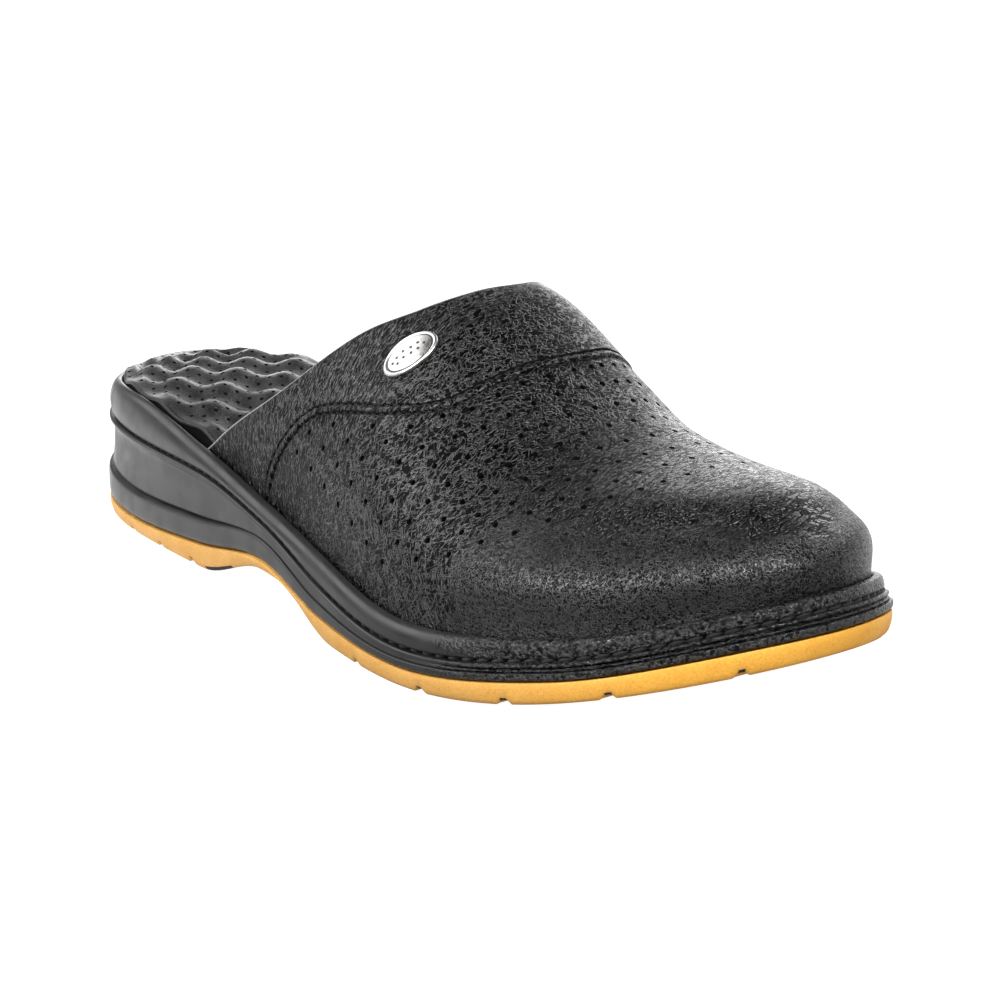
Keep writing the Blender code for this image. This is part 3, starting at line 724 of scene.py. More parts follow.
# %% Outsole
TOE_SPRING, TOE_SPRING_START, ARCH_RISE = 16.8, 196.0, 8.6
ARCH_BACK, ARCH_TOP_BACK, ARCH_TOP_FRONT, ARCH_FRONT = 90.0, 126.0, 136.0, 168.0
TREAD_GROOVES = (26.0, 47.0, 66.0, 85.0, 183.0, 210.0, 235.0, 257.0, 277.0)
TREAD_GROOVE_WIDTH, TREAD_GROOVE_DEPTH, TREAD_GROOVE_FLARE = 1.2, 1.0, 1.6
TREAD_COLUMNS, NOTCH_ROWS, NOTCH_HALF, NOTCH_REACH, NOTCH_SOFT = 20, 3, 0.85, 0.5, 0.2
OUTSOLE_STATIONS, GROOVE_STATIONS, GROOVE_CLEAR = (24, 90, 36), 21, 0.4
HEEL_BREAST, HEEL_BREAST_ROWS = (92.0, 107.0), 3
OUTSOLE_SIDE = (
    # inset, share of the height
    (3.0, 0.0),
    (1.6, 0.0),
    (1.1, 0.08),
    (0.7, 0.18),
    (0.5, 0.3),
    (0.2, 0.5),
    (0.1, 0.7),
    (0.1, 0.9),
    (0.3, 1.0),
)


def ground(along):
    """Underside of the outsole: flat heel and forefoot, arch between, toe spring in front."""
    arch = ease(along, ARCH_BACK, ARCH_TOP_BACK) * (1 - ease(along, ARCH_TOP_FRONT, ARCH_FRONT))
    spring = np.clip((along - TOE_SPRING_START) / (LENGTH - TOE_SPRING_START), 0, None)
    return ARCH_RISE * arch + TOE_SPRING * spring**2


def travelled(path):
    """Distance travelled along a path at each of its points."""
    return np.concatenate([[0.0], np.cumsum(np.linalg.norm(np.diff(path, axis=0), axis=1))])


def groove_distance(side, stations):
    """Distance round the outline from each station to the nearest tread groove."""
    points = SIDES[side][0]
    along, travel = np.maximum.accumulate(points[:, 0]), travelled(points)
    spot, grooves = (np.interp(places, along, travel) for places in (stations, TREAD_GROOVES))
    return np.abs(np.subtract.outer(spot, grooves)).min(-1)


def tread(x, away):
    """Ground height with the tread grooves cut into it."""
    wall = TREAD_GROOVE_WIDTH / 2
    return ground(x) + TREAD_GROOVE_DEPTH * (1 - ease(away, wall, wall + TREAD_GROOVE_FLARE))


def make_outsole():
    half = TREAD_GROOVE_WIDTH / 2 + TREAD_GROOVE_FLARE
    close = np.concatenate([groove + np.linspace(-half, half, GROOVE_STATIONS) for groove in TREAD_GROOVES])
    plain = stations_along(*OUTSOLE_STATIONS)
    plain = plain[np.abs(np.subtract.outer(plain, TREAD_GROOVES)).min(1) > half + GROOVE_CLEAR]
    stations = np.sort(np.concatenate([plain, close[close < TIP]]))
    outer, inner = groove_distance("outer", stations), groove_distance("inner", stations)
    away = np.concatenate([outer, inner[-2:0:-1]])
    wall = NOTCH_HALF - NOTCH_SOFT, NOTCH_HALF + NOTCH_SOFT
    notches = [NOTCH_REACH * (1 - ease(side, *wall)) for side in (outer, inner)]
    rings = []
    for row, (inset, share) in enumerate(OUTSOLE_SIDE):
        cut_in = 0 < row < NOTCH_ROWS
        rings.append(ring_loop(stations, tuple(inset + notch * cut_in for notch in notches),
                               lambda x, station: tread(x, away) * (1 - share)
                               + (outsole_top(x) - PIECE_GAP / 2) * share))

    def below_height(x, station, share):
        ends = np.interp(station, stations, outer), np.interp(station, stations, inner)
        return tread(x, ends[0] * (1 - share) + ends[1] * share)

    points, faces = capped_stack(rings, stations, (TREAD_COLUMNS, below_height),
                                 (PLAIN_COLUMNS, lambda x, station, share: outsole_top(x) - PIECE_GAP / 2))
    loop = np.concatenate([stations, stations[-2:0:-1]])
    # Painted shade: faces in the notches and low on the heel breast take the dark rubber instead of shadow.
    in_notch = (away + np.roll(away, -1)) / 2 < NOTCH_HALF
    in_breast = (loop > HEEL_BREAST[0]) & (loop < HEEL_BREAST[1])
    kinds = [in_notch & (row < NOTCH_ROWS) | in_breast & (row < HEEL_BREAST_ROWS)
             for row in range(len(rings) - 1)]
    kinds.append(np.zeros(len(faces[1]) + len(faces[2])))
    return make_piece("outsole_rubber", points, sum(faces, []), [rubber, rubber_painted_shade],
                      np.concatenate(kinds))


seat(make_outsole(), "outsole")

# %% [markdown]
# ## Midsole
# From the bottom up the moulded side has a bulged band, a ridge, a hollow panel round the heel, a lip, the
# groove that holds a row of stitches, and the rounded rand that hugs the upper. The table gives these lines
# once, and a curve through them in every station rounds the mould's edges.

# %% Midsole
MIDSOLE_SIDE = (
    # place, inset, heel panel depth, toe line depth, zone, share of the zone, lift
    ("underside edge", 1.0, 0.0, 0.0, "band", 0.0, 0.0),
    ("band foot", 0.1, 0.0, 0.0, "band", 0.2, 0.0),
    ("band", 0.0, 0.0, 0.0, "band", 0.65, 0.0),
    ("ridge brow", 0.15, 0.0, 0.0, "band", 0.93, 0.0),
    ("ridge", 0.6, 0.2, 0.0, "band", 1.0, 0.0),
    ("ridge line", 1.0, 1.2, 0.2, "panel", 0.04, 0.0),
    ("panel foot", 0.8, 0.7, 0.3, "panel", 0.1, 0.0),
    ("panel", 0.9, 1.1, 0.1, "panel", 0.45, 0.0),
    ("panel head", 1.1, 1.0, 0.9, "panel", 0.87, 0.0),
    ("lip", 0.9, 0.0, 0.2, "panel", 1.0, 0.0),
    ("groove, lower edge", 1.2, 0.0, 0.2, "rand", 0.0, -0.55),
    ("groove floor", 3.2, 0.0, 0.2, "rand", 0.0, 0.0),
    ("groove, upper edge", 1.7, 0.0, 0.6, "rand", 0.0, 0.55),
    ("rand", 1.2, 0.0, 1.2, "rand", 0.45, 0.0),
    ("rand shoulder", 2.3, 0.0, 0.7, "rand", 0.85, 0.0),
    ("rand crown", 4.2, 0.0, 0.1, "rand", 1.0, 0.0),
    ("recess edge", RECESS_INSET, 0.0, 0.0, "rand", 1.0, -0.5),
    ("recess foot", RECESS_INSET, 0.0, 0.0, "rand", 1.0, -RECESS_DEPTH),
)
LIP_DROP, PANEL_WALLS, TOE_LINE_PLACES = 1.4, (11.0, 20.0), (212.0, 232.0)
MIDSOLE_STATIONS, LINES_BETWEEN = (30, 120, 46), 5


def zone_ends(zone, x):
    """Lower and upper height of a zone of the midsole's side."""
    ridge = outsole_top(x) + ridge_lift(x)
    if zone == "band":
        return outsole_top(x) + PIECE_GAP / 2, ridge
    if zone == "panel":
        return ridge, groove_line(x) - LIP_DROP
    return groove_line(x), rand_top(x)


def midsole_ring(stations, row):
    """One line of the midsole's side, round the whole shoe."""
    inset, panel_depth, toe_depth, zone, share, lift = row[1:]
    panel = ease(groove_line(stations) - outsole_top(stations), *PANEL_WALLS)
    inset = inset + panel_depth * panel + toe_depth * ease(stations, *TOE_LINE_PLACES)

    def height(x, station):
        low, high = zone_ends(zone, x)
        return low + share * (high - low) + lift

    return ring_loop(stations, inset, height)


def rounded_rows(rows, between):
    """More rows on a smooth curve through the given ones."""
    padded = np.concatenate([rows[:1], rows, rows[-1:]])
    fine = []
    for a, b, c, d in zip(padded, padded[1:], padded[2:], padded[3:]):
        for u in np.arange(between) / between:
            fine.append(hermite(u, 1.0, b, c, (c - a) / 2, (d - b) / 2))
    return np.array(fine + [rows[-1]])


def make_midsole():
    stations = stations_along(*MIDSOLE_STATIONS)
    rows = rounded_rows(np.array([midsole_ring(stations, row) for row in MIDSOLE_SIDE]), LINES_BETWEEN)
    points, faces = capped_stack(rows, stations,
                                 (PLAIN_COLUMNS, lambda x, station, share: outsole_top(x) + PIECE_GAP / 2),
                                 (PLAIN_COLUMNS, lambda x, station, share: rand_top(x) - RECESS_DEPTH))
    return make_piece("midsole_moulded", points, sum(faces, []), [foam])


seat(make_midsole(), "midsole")

# %% [markdown]
# ## Stitches as short tubes
# Both the rand and the collar seam carry rows of stitches. A stitch is a short tube that dips at both ends,
# where it goes into its holes. All stitches of a row become one mesh, made from arrays in one go, because a
# few hundred separate objects would be slow to handle and to export.

# %% Stitch rows
TUBE_SIDES = 8


def tube_rows(paths, normals, radius):
    """Points and faces of many short tubes with closed ends; a radius for each ring."""
    sides, (stitches, rings) = TUBE_SIDES, paths.shape[:2]
    ahead = np.gradient(paths, axis=1)
    ahead /= np.linalg.norm(ahead, axis=-1)[..., None]
    side = np.cross(ahead, normals)
    side /= np.linalg.norm(side, axis=-1)[..., None]
    up = np.cross(side, ahead)
    turn = np.linspace(0, 2 * pi, sides, endpoint=False)
    ring = side[:, :, None] * np.cos(turn)[:, None] + up[:, :, None] * np.sin(turn)[:, None]
    points = (paths[:, :, None] + ring * np.asarray(radius)[:, None, None]).reshape(-1, 3)
    one = []
    for k in range(rings - 1):
        for i in range(sides):
            j = (i + 1) % sides
            one.append((k * sides + i, k * sides + j, (k + 1) * sides + j, (k + 1) * sides + i))
    one.append(tuple(range(sides))[::-1])
    one.append(tuple(range((rings - 1) * sides, rings * sides)))
    faces = [tuple(n * rings * sides + i for i in face) for n in range(stitches) for face in one]
    return points, faces


def even_steps(path, pitch, length, rings):
    """For stitches at an even pitch on a path: their places as shares of its points."""
    travel = travelled(path)
    count = int((travel[-1] - length) // pitch)
    starts = (np.arange(count) + 0.5) * travel[-1] / count - length / 2
    wanted = starts[:, None] + np.linspace(0, length, rings)
    return np.interp(wanted, travel, np.arange(len(path)))


def along_path(values, places):
    """Values of a path at fractional places."""
    k = np.clip(places.astype(int), 0, len(values) - 2)
    u = (places - k)[..., None]
    return values[k] * (1 - u) + values[k + 1] * u


print("a stitch is a tube of", TUBE_SIDES, "sides")

# %% Rand stitches
RAND_STITCH_PITCH, RAND_STITCH_LENGTH, RAND_STITCH_RADIUS, RAND_STITCH_END = 4.3, 3.5, 0.62, 0.55
RAND_STITCH_RINGS, RAND_STITCH_INSET, RAND_STITCH_DIP, RAND_STITCH_SINK = 7, 2.85, 0.5, 0.6
RAND_STITCH_LEAN, RAND_STITCH_START, RAND_STITCH_STATIONS = 0.35, 45.0, (40, 160, 60)


def make_rand_stitches():
    stations = stations_along(*RAND_STITCH_STATIONS)
    path = ring_loop(stations, RAND_STITCH_INSET, lambda x, station: groove_line(x))
    inward = ring_loop(stations, RAND_STITCH_INSET + 1.0, lambda x, station: groove_line(x)) - path
    path, inward = np.concatenate([path, path[:1]]), np.concatenate([inward, inward[:1]])
    places = even_steps(path, RAND_STITCH_PITCH, RAND_STITCH_LENGTH, RAND_STITCH_RINGS)
    bow = np.sin(np.linspace(0, pi, RAND_STITCH_RINGS))
    outwards = -along_path(inward, places)
    outwards /= np.linalg.norm(outwards, axis=-1)[..., None]
    paths = along_path(path, places) + outwards * (RAND_STITCH_DIP * (bow - RAND_STITCH_SINK))[:, None]
    paths[..., 2] += np.linspace(-RAND_STITCH_LEAN, RAND_STITCH_LEAN, RAND_STITCH_RINGS)
    sewn = paths[:, 0, 0] > RAND_STITCH_START
    radius = RAND_STITCH_RADIUS * (RAND_STITCH_END + (1 - RAND_STITCH_END) * bow)
    points, faces = tube_rows(paths[sewn], outwards[sewn], radius)
    return make_piece("rand_stitches", points, faces, [thread])


seat(make_rand_stitches())

# %% [markdown]
# ## Insole
# The footbed is a foam sheet under thin perforated leather, pressed into staggered bumps in six columns, with
# a wave of 22 mm along. It stands a little above the rand at the heel and lies flatter inside the upper.
# The pinholes are real holes: a mesh of small pegs is cut from the sheet with one Boolean, since a thousand
# separate cuts would take minutes.

# %% Footbed finish
FOOTBED_PEBBLE, FOOTBED_GRAIN_HEIGHT = (0.8, 0.8, 0.8), 0.05
FOOTBED_BLACKS, FOOTBED_ROUGHNESS = ((0.006, 0.006, 0.007), (0.013, 0.013, 0.0145)), (0.3, 0.42)
DUST, DUST_SHARE = (0.25, 0.25, 0.26), 0.25


def footbed_finish():
    material, tree, shader, spot = new_finish("perforated_footbed", 0.38, Specular_IOR_Level=0.45)
    pebbles = {"Vector": stretched(tree, spot, FOOTBED_PEBBLE), "Scale": 1.0}
    grain = remap(tree, wire(tree, "TexVoronoi", pebbles, feature="DISTANCE_TO_EDGE"), 0.0, 0.25)
    raise_surface(tree, shader, times(tree, grain, FOOTBED_GRAIN_HEIGHT))
    dust = remap(tree, noise(tree, spot, 1.1, 2.0), 0.70, 0.78)
    worn = remap(tree, noise(tree, spot, 8.0, 3.0), 0.35, 0.7)
    paint(tree, shader, times(tree, dust, DUST_SHARE), tint(tree, worn, *FOOTBED_BLACKS), DUST)
    tree.links.new(remap(tree, worn, 0.0, 1.0, *FOOTBED_ROUGHNESS), shader.inputs["Roughness"])
    return material


footbed_leather = footbed_finish()
print("footbed finish ready")

# %% One Boolean for many holes
def cut_holes(piece, centres, normals, radius, below, above, sides, wall_material):
    """Cuts round pegs along the normals from a closed piece and applies the result."""
    rough = np.where(np.abs(normals[:, :1]) < 0.8, [[1.0, 0.0, 0.0]], [[0.0, 1.0, 0.0]])
    u = np.cross(normals, rough)
    u /= np.linalg.norm(u, axis=1)[:, None]
    v = np.cross(normals, u)
    turn = np.linspace(0, 2 * pi, sides, endpoint=False)
    rim = (u[:, None] * np.cos(turn)[:, None] + v[:, None] * np.sin(turn)[:, None]) * radius
    ends = [centres[:, None] + rim + normals[:, None] * reach for reach in (-below, above)]
    points = np.concatenate(ends, 1).reshape(-1, 3)
    one = [tuple(range(sides))[::-1], tuple(range(sides, 2 * sides))]
    one += [(i, (i + 1) % sides, (i + 1) % sides + sides, i + sides) for i in range(sides)]
    faces = [tuple(2 * sides * n + i for i in face) for n in range(len(centres)) for face in one]
    index = len(piece.data.materials)
    piece.data.materials.append(wall_material)
    pegs = make_piece("pegs", points, faces, list(piece.data.materials), [index] * len(faces))
    cut = piece.modifiers.new("holes", "BOOLEAN")
    cut.operation, cut.object, cut.solver = "DIFFERENCE", pegs, "MANIFOLD"
    depsgraph = bpy.context.evaluated_depsgraph_get()
    before = len(piece.data.polygons)
    result = bpy.data.meshes.new_from_object(piece.evaluated_get(depsgraph))
    piece.modifiers.clear()
    piece.data = result
    result.set_sharp_from_angle(angle=SMOOTH_ANGLE)
    bpy.data.objects.remove(pegs)
    print(piece.name, "went from", before, "to", len(result.polygons), "faces with", len(centres), "holes")


print("hole cutter ready")

# %% Footbed
INSOLE_INSET_HEEL, INSOLE_INSET_FRONT, INSOLE_NARROWS = 5.4, 7.8, (62.0, 79.0)
INSOLE_DROP, INSOLE_LIFT, INSOLE_LIFT_FADE, INSOLE_CROWN = 0.6, 1.9, (104.0, 132.0), 0.6
INSOLE_EDGE_ROUND, INSOLE_EDGE_STEPS, INSOLE_EDGE_GAP, INSOLE_UNDERCUT = 1.0, 5, 0.05, 0.5
INSOLE_STATIONS, INSOLE_COLUMNS = (20, 120, 26), 56
BUMP_PITCH, BUMP_COLUMNS, BUMP_HEIGHT, BUMP_EDGE = 22.0, 6, 2.0, 0.4
BUMP_END_FADE, BUMP_SIDE_FADE, FIRST_BUMP = (2.0, 13.0), (0.0, 0.08), 15.0
PINHOLE_PITCH, PINHOLE_ROW_SHARE, PINHOLE_RADIUS, PINHOLE_SIDES = 3.9, 0.87, 0.56, 8
PINHOLE_DEPTH, PINHOLE_ABOVE = 2.0, 2.0
PINHOLE_MARGIN, PINHOLE_ENDS, PINHOLE_ACROSS = 1.6, (6.0, 200.0), 60.0


def bump_wave(station):
    """Rise and fall of the bumps along the footbed, from -1 to 1."""
    return np.cos(2 * pi * (station - FIRST_BUMP) / BUMP_PITCH) * ease(station, *BUMP_END_FADE)


def sheet_level(x, station):
    """Height of the footbed's edge: a little over the rand at the heel, just under it inside the upper."""
    at_heel = 1 - ease(station, *INSOLE_LIFT_FADE)
    return rand_top(x) - INSOLE_DROP + (INSOLE_LIFT + BUMP_EDGE * BUMP_HEIGHT * bump_wave(station)) * at_heel


def insole_top(x, station, share):
    """Height of the footbed with bumps that alternate like a chessboard."""
    at_heel = 1 - ease(station, *INSOLE_LIFT_FADE)
    inside = ease(np.minimum(share, 1 - share), *BUMP_SIDE_FADE)
    height = BUMP_HEIGHT * (inside + BUMP_EDGE * at_heel * (1 - inside))
    level = rand_top(x) - INSOLE_DROP + INSOLE_LIFT * at_heel + INSOLE_CROWN * inside
    return level + height * bump_wave(station) * np.cos(pi * BUMP_COLUMNS * share)


def insole_margin(station):
    """Inset of the footbed's edge from the outline, larger inside the upper."""
    return INSOLE_INSET_HEEL + (INSOLE_INSET_FRONT - INSOLE_INSET_HEEL) * ease(station, *INSOLE_NARROWS)


def make_footbed():
    stations = stations_along(*INSOLE_STATIONS)
    margin = insole_margin(stations)

    def underside(x, station, share=0.0):
        return rand_top(x) - RECESS_DEPTH + PIECE_GAP

    rings = [ring_loop(stations, margin + INSOLE_UNDERCUT, underside),
             ring_loop(stations, margin + INSOLE_UNDERCUT,
                       lambda x, station: sheet_level(x, station) - INSOLE_EDGE_ROUND - INSOLE_EDGE_GAP)]
    for angle in np.linspace(0, pi / 2, INSOLE_EDGE_STEPS):
        drop = INSOLE_EDGE_ROUND * (1 - sin(angle))
        rings.append(ring_loop(stations, margin + INSOLE_EDGE_ROUND * (1 - np.cos(angle)),
                               lambda x, station: sheet_level(x, station) - drop))
    points, faces = capped_stack(rings, stations, (PLAIN_COLUMNS, underside), (INSOLE_COLUMNS, insole_top))
    sides, below, above = map(len, faces)
    first_row = len(rings[0])
    # Painted shade: the footbed's low side band and underside take the near-black recess finish.
    kinds = [1] * first_row + [0] * (sides - first_row) + [1] * below + [0] * above
    return make_piece("footbed", points, sum(faces, []), [footbed_leather, recess], kinds)


def pinholes():
    """Centres and normals of a staggered grid of pinholes on the footbed."""
    centres = []
    for row, along in enumerate(np.arange(*PINHOLE_ENDS, PINHOLE_PITCH * PINHOLE_ROW_SHARE)):
        inset = insole_margin(np.array(along)) + INSOLE_EDGE_ROUND
        left, right = (edge(side, np.array(along), inset)[1] for side in ("outer", "inner"))
        shift = PINHOLE_PITCH / 2 * (row % 2)
        for across in np.arange(-PINHOLE_ACROSS + shift, PINHOLE_ACROSS, PINHOLE_PITCH):
            if left + PINHOLE_MARGIN < across < right - PINHOLE_MARGIN:
                share = (across - left) / (right - left)
                centres.append((along, across, float(insole_top(np.array(along), along, share))))
    centres = np.array(centres)
    return centres, np.tile([0.0, 0.0, 1.0], (len(centres), 1))


footbed = make_footbed()
# Painted shade: the pinhole walls take the near-black recess finish.
cut_holes(footbed, *pinholes(), PINHOLE_RADIUS, PINHOLE_DEPTH, PINHOLE_ABOVE, PINHOLE_SIDES, recess)
seat(footbed, "insole")

# %% [markdown]
# ## Creases and rolls of the upper
# Leather that has been lasted isn't an even shell. Round the toe box a soft shoulder drops into a trough.
# Under it one roll runs along the side and another round the toe, and the leather dents in above the rand.
# Sculpting would do, but here each crease is a line of places on the last with a width and a depth. It pushes
# the surface along its normal with a soft edge, so it can be moved by two numbers. A negative depth is a
# trough. A line round the toe steps from the outer to the inner side at the tip, where both meet.

# %% Creases
CREASES = (
    # name, width, depth, places as (along, girth)
    ("shoulder of the toe box", 7.0, 0.6,
     ((222, -0.36), (235, -0.35), (243, -0.33), (255, -0.32), (267, -0.33), (276, -0.34), (284.9, -0.35),
      (284.9, 0.36), (276, 0.36), (262, 0.36), (245, 0.38))),
    ("trough under the shoulder", 7.5, -1.8,
     ((233, -0.52), (240, -0.51), (250, -0.50), (260, -0.49), (269, -0.48), (277, -0.47), (284.9, -0.47),
      (284.9, 0.50), (276, 0.51), (264, 0.52))),
    ("roll on the side", 6.0, 1.0, ((215, -0.76), (235, -0.73), (245, -0.72), (252, -0.71), (258, -0.71))),
    ("roll round the toe", 7.5, 1.2,
     ((269, -0.68), (273, -0.70), (277, -0.72), (284.9, -0.73), (284.9, 0.70), (277, 0.68), (268, 0.67))),
    ("dent under the rolls", 7.0, -1.4,
     ((256, -0.93), (263, -0.93), (268, -0.92), (272, -0.91), (277, -0.90))),
    ("slit mark above the rand", 0.7, -0.6, ((166.5, -0.958), (173, -0.950), (180, -0.942))),
)
CREASE_STEP, CREASE_FADE = 0.9, 0.6


def crease_path(places):
    """Points of a crease on the last, and how strongly each one counts, fading at the ends."""
    parts = []
    for (a, g), (b, h) in zip(places, places[1:]):
        if g * h > 0:
            steps = int(np.linalg.norm(last_surface(a, g) - last_surface(b, h)) / CREASE_STEP) + 2
            parts.append(last_surface(np.linspace(a, b, steps), np.linspace(g, h, steps)))
    path = np.concatenate(parts)
    return path, np.sin(np.linspace(0, pi, len(path))) ** CREASE_FADE


def nearest_on(path, points):
    """Distance of each point to a path and the index of the nearest sample."""
    gap, index = np.full(len(points), np.inf), np.zeros(len(points), int)
    for k, sample in enumerate(path):
        away = np.linalg.norm(points - sample, axis=1)
        closer = away < gap
        gap[closer], index[closer] = away[closer], k
    return gap, index


def crease_relief(points):
    """How far each point moves along its normal for all creases together."""
    move = np.zeros(len(points))
    for _, width, depth, places in CREASES:
        path, weight = crease_path(places)
        gap, index = nearest_on(path, points)
        move += depth * weight[index] * np.exp(-(gap / width) ** 2)
    return move


print(len(CREASES), "creases and rolls")

# %% [markdown]
# ## The collar seam
# The collar band laps over the vamp and is sewn down with two rows of stitches. Each row pulls the leather
# into a narrow trough. The relief depends on the true distance from the seam line, so it keeps its width
# where the seam swings from steep to nearly level.

# %% Seam relief
UPPER_WALL, COLLAR_BAND_STEP, BAND_STEP_FADE, BAND_EDGE = 2.0, 0.6, (0.05, 0.14), (-0.3, 0.5)
ROW_OFFSET, ROW_TROUGH_WIDTH, ROW_TROUGH_DEPTH = 1.05, 0.26, 0.75
SEAM_SAMPLES = 500
SEAM_ENDS = {"outer": -1, "inner": 1}


def seam_path(side):
    """Places and points of the seam on one side, from the sole to the ridge."""
    climb = np.linspace(0.0, 1.0, SEAM_SAMPLES)
    along, girth = collar_seam[side](climb), SEAM_ENDS[side] * (1 - climb)
    return along, girth, last_surface(along, girth)


def seam_relief(points, along, girth):
    """Raised band behind the seam and a trough under each row of stitches."""
    move = np.zeros(len(points))
    for side, sign in SEAM_ENDS.items():
        mine = girth * sign > 0 if sign > 0 else girth <= 0
        climb = 1 - np.abs(girth[mine])
        gap = nearest_on(seam_path(side)[2], points[mine])[0]
        gap *= np.sign(along[mine] - collar_seam[side](climb))
        past_edge = ease(gap, ROW_OFFSET + BAND_EDGE[0], ROW_OFFSET + BAND_EDGE[1])
        band = COLLAR_BAND_STEP * ease(climb, *BAND_STEP_FADE) * (1 - past_edge)
        rows = sum(np.exp(-((gap - offset) / ROW_TROUGH_WIDTH) ** 2) for offset in (-ROW_OFFSET, ROW_OFFSET))
        move[mine] = band - ROW_TROUGH_DEPTH * rows
    return move


print("seam", round(travelled(seam_path("outer")[2])[-1]), "mm a side")

# %% [markdown]
# ## The upper
# The upper is a grid of rows over the foot and columns along it, with the columns crowded at the seam. The
# outer face takes the relief, the inner face lies one wall thickness deeper, and a bevel and a rounded rim
# join them at the collar, where the cut shows. A Solidify modifier would also thicken a sheet, but it leaves
# no say over the rim. The wall is a closed body, so that one Boolean can punch the vent holes through it.

# %% Upper grid
UPPER_ROWS, BAND_COLUMNS, VAMP_COLUMNS = 70, 26, 124
SEAM_OFFSETS = (0.0, 0.35, 0.6, 0.75, 0.87, 0.96, 1.05, 1.14, 1.23, 1.35, 1.5, 1.75, 2.2, 3.0, 4.2)
SEAM_PROBE, LEAST_CROSSING = 0.004, 0.3
EDGE_BEVEL = 0.9


def seam_spread(side, climb):
    """Millimetres along the shoe for each millimetre away from the seam line."""
    ends = np.clip([climb - SEAM_PROBE, climb + SEAM_PROBE], 0.0, 1.0)
    low, high = last_surface(collar_seam[side](ends), SEAM_ENDS[side] * (1 - ends))
    run = (high - low) / np.linalg.norm(high - low)
    ahead = last_directions(collar_seam[side](climb), SEAM_ENDS[side] * (1 - climb))[0]
    return 1 / max(float(np.linalg.norm(np.cross(ahead, run))), LEAST_CROSSING)


def upper_places():
    """Along and girth of every grid point, rows first."""
    girth = np.linspace(-1, 1, 2 * UPPER_ROWS + 1)
    rows = []
    for g in girth:
        side, climb = "outer" if g <= 0 else "inner", 1 - abs(g)
        start, seam = collar_edge[side](climb), collar_seam[side](climb)
        middle = seam + seam_offsets * seam_spread(side, climb)
        band = np.linspace(start + EDGE_BEVEL, middle[0], BAND_COLUMNS, endpoint=False)
        turn = np.sin(np.linspace(0, pi / 2, VAMP_COLUMNS + 1))[1:]
        rows.append(np.concatenate([[start], band, middle, middle[-1] + (TIP - middle[-1]) * turn]))
    along = np.array(rows)
    return along, np.broadcast_to(girth[:, None], along.shape)


def upper_faces(rows, columns):
    """Quads of the grid; both sides share the last column, the middle line of the toe."""
    index = np.arange(rows * columns).reshape(rows, columns)
    index[rows // 2 + 1:, -1] = index[:rows // 2, -1][::-1]
    corners = index[:-1, :-1], index[:-1, 1:], index[1:, 1:], index[1:, :-1]
    return np.stack(corners, -1).reshape(-1, 4), index


def face_normals_at_points(points, faces):
    """Outward direction at each point, from the faces round it."""
    a, b, c, d = (points[faces[:, k]] for k in range(4))
    area = np.cross(c - a, d - b)
    total = np.zeros_like(points)
    for k in range(4):
        np.add.at(total, faces[:, k], area)
    return total / np.maximum(np.linalg.norm(total, axis=1), 1e-9)[:, None]


def drop_unused(points, faces):
    """Leaves out points that no face uses."""
    used = np.unique(np.concatenate([np.asarray(face, int) for face in faces]))
    renumber = np.full(len(points), -1)
    renumber[used] = np.arange(len(used))
    return points[used], [tuple(int(renumber[i]) for i in face) for face in faces]


seam_offsets = np.concatenate([-np.array(SEAM_OFFSETS[:0:-1]), SEAM_OFFSETS])
along_grid, girth_grid = upper_places()
print("upper grid:", along_grid.shape[0], "rows by", along_grid.shape[1], "columns")


# %% Upper wall
EDGE_BEVEL_DROP, RIM_STEPS, RIM_BULGE = 0.42, 4, 0.3
TROUGH_FLOOR = (0.86, 1.24)
LEATHER_KIND, LINING_KIND, EDGE_KIND, SHADE_KIND = range(4)


def wall_points(faces, index):
    """Outer and inner points of the wall, which is level at the sole's edge."""
    along, girth = along_grid.ravel(), girth_grid.ravel()
    skin = last_surface(along, girth)
    normals = face_normals_at_points(skin, faces)
    move = crease_relief(skin) + seam_relief(skin, along, girth)
    move[index[:, 0]] -= EDGE_BEVEL_DROP
    outer, inner = skin + normals * move[:, None], skin - normals * UPPER_WALL
    foot = np.abs(girth) == 1
    level = normals[foot] * [1, 1, 0]
    level /= np.maximum(np.linalg.norm(level, axis=1), 1e-9)[:, None]
    inner[foot] = skin[foot] - level * UPPER_WALL
    return outer, inner


def collar_rim(outer, inner, index):
    """Points and faces of the rounded rim between both faces, numbered after their points."""
    collar, count = index[:, 0], len(outer)
    ahead = outer[index[:, 1]] - outer[collar]
    ahead /= np.linalg.norm(ahead, axis=1)[:, None]
    rows, points = [collar], []
    for step in range(1, RIM_STEPS):
        share = step / RIM_STEPS
        row = outer[collar] * (1 - share) + inner[collar] * share - ahead * RIM_BULGE * sin(pi * share)
        rows.append(np.arange(len(row)) + 2 * count + sum(map(len, points)))
        points.append(row)
    rows.append(collar + count)
    faces = []
    for low, high in zip(rows, rows[1:]):
        faces += zip(low[:-1], low[1:], high[1:], high[:-1])
    faces.append([row[0] for row in rows])
    faces.append([row[-1] for row in rows[::-1]])
    return points, faces


def skin_kinds(count):
    """Finish of each outer face: bevel is cut leather with painted highlight, trough floors painted shade."""
    column = np.arange(count) % (along_grid.shape[1] - 1)
    low, high = TROUGH_FLOOR
    floor_line = (np.abs(seam_offsets) > low) & (np.abs(seam_offsets) < high)
    floor_columns = 1 + BAND_COLUMNS + np.flatnonzero(floor_line[:-1] & floor_line[1:])
    # Painted shade: the floors of the stitch troughs take the near-black recess finish.
    kinds = np.where(np.isin(column, floor_columns), SHADE_KIND, LEATHER_KIND)
    return np.where(column == 0, EDGE_KIND, kinds)


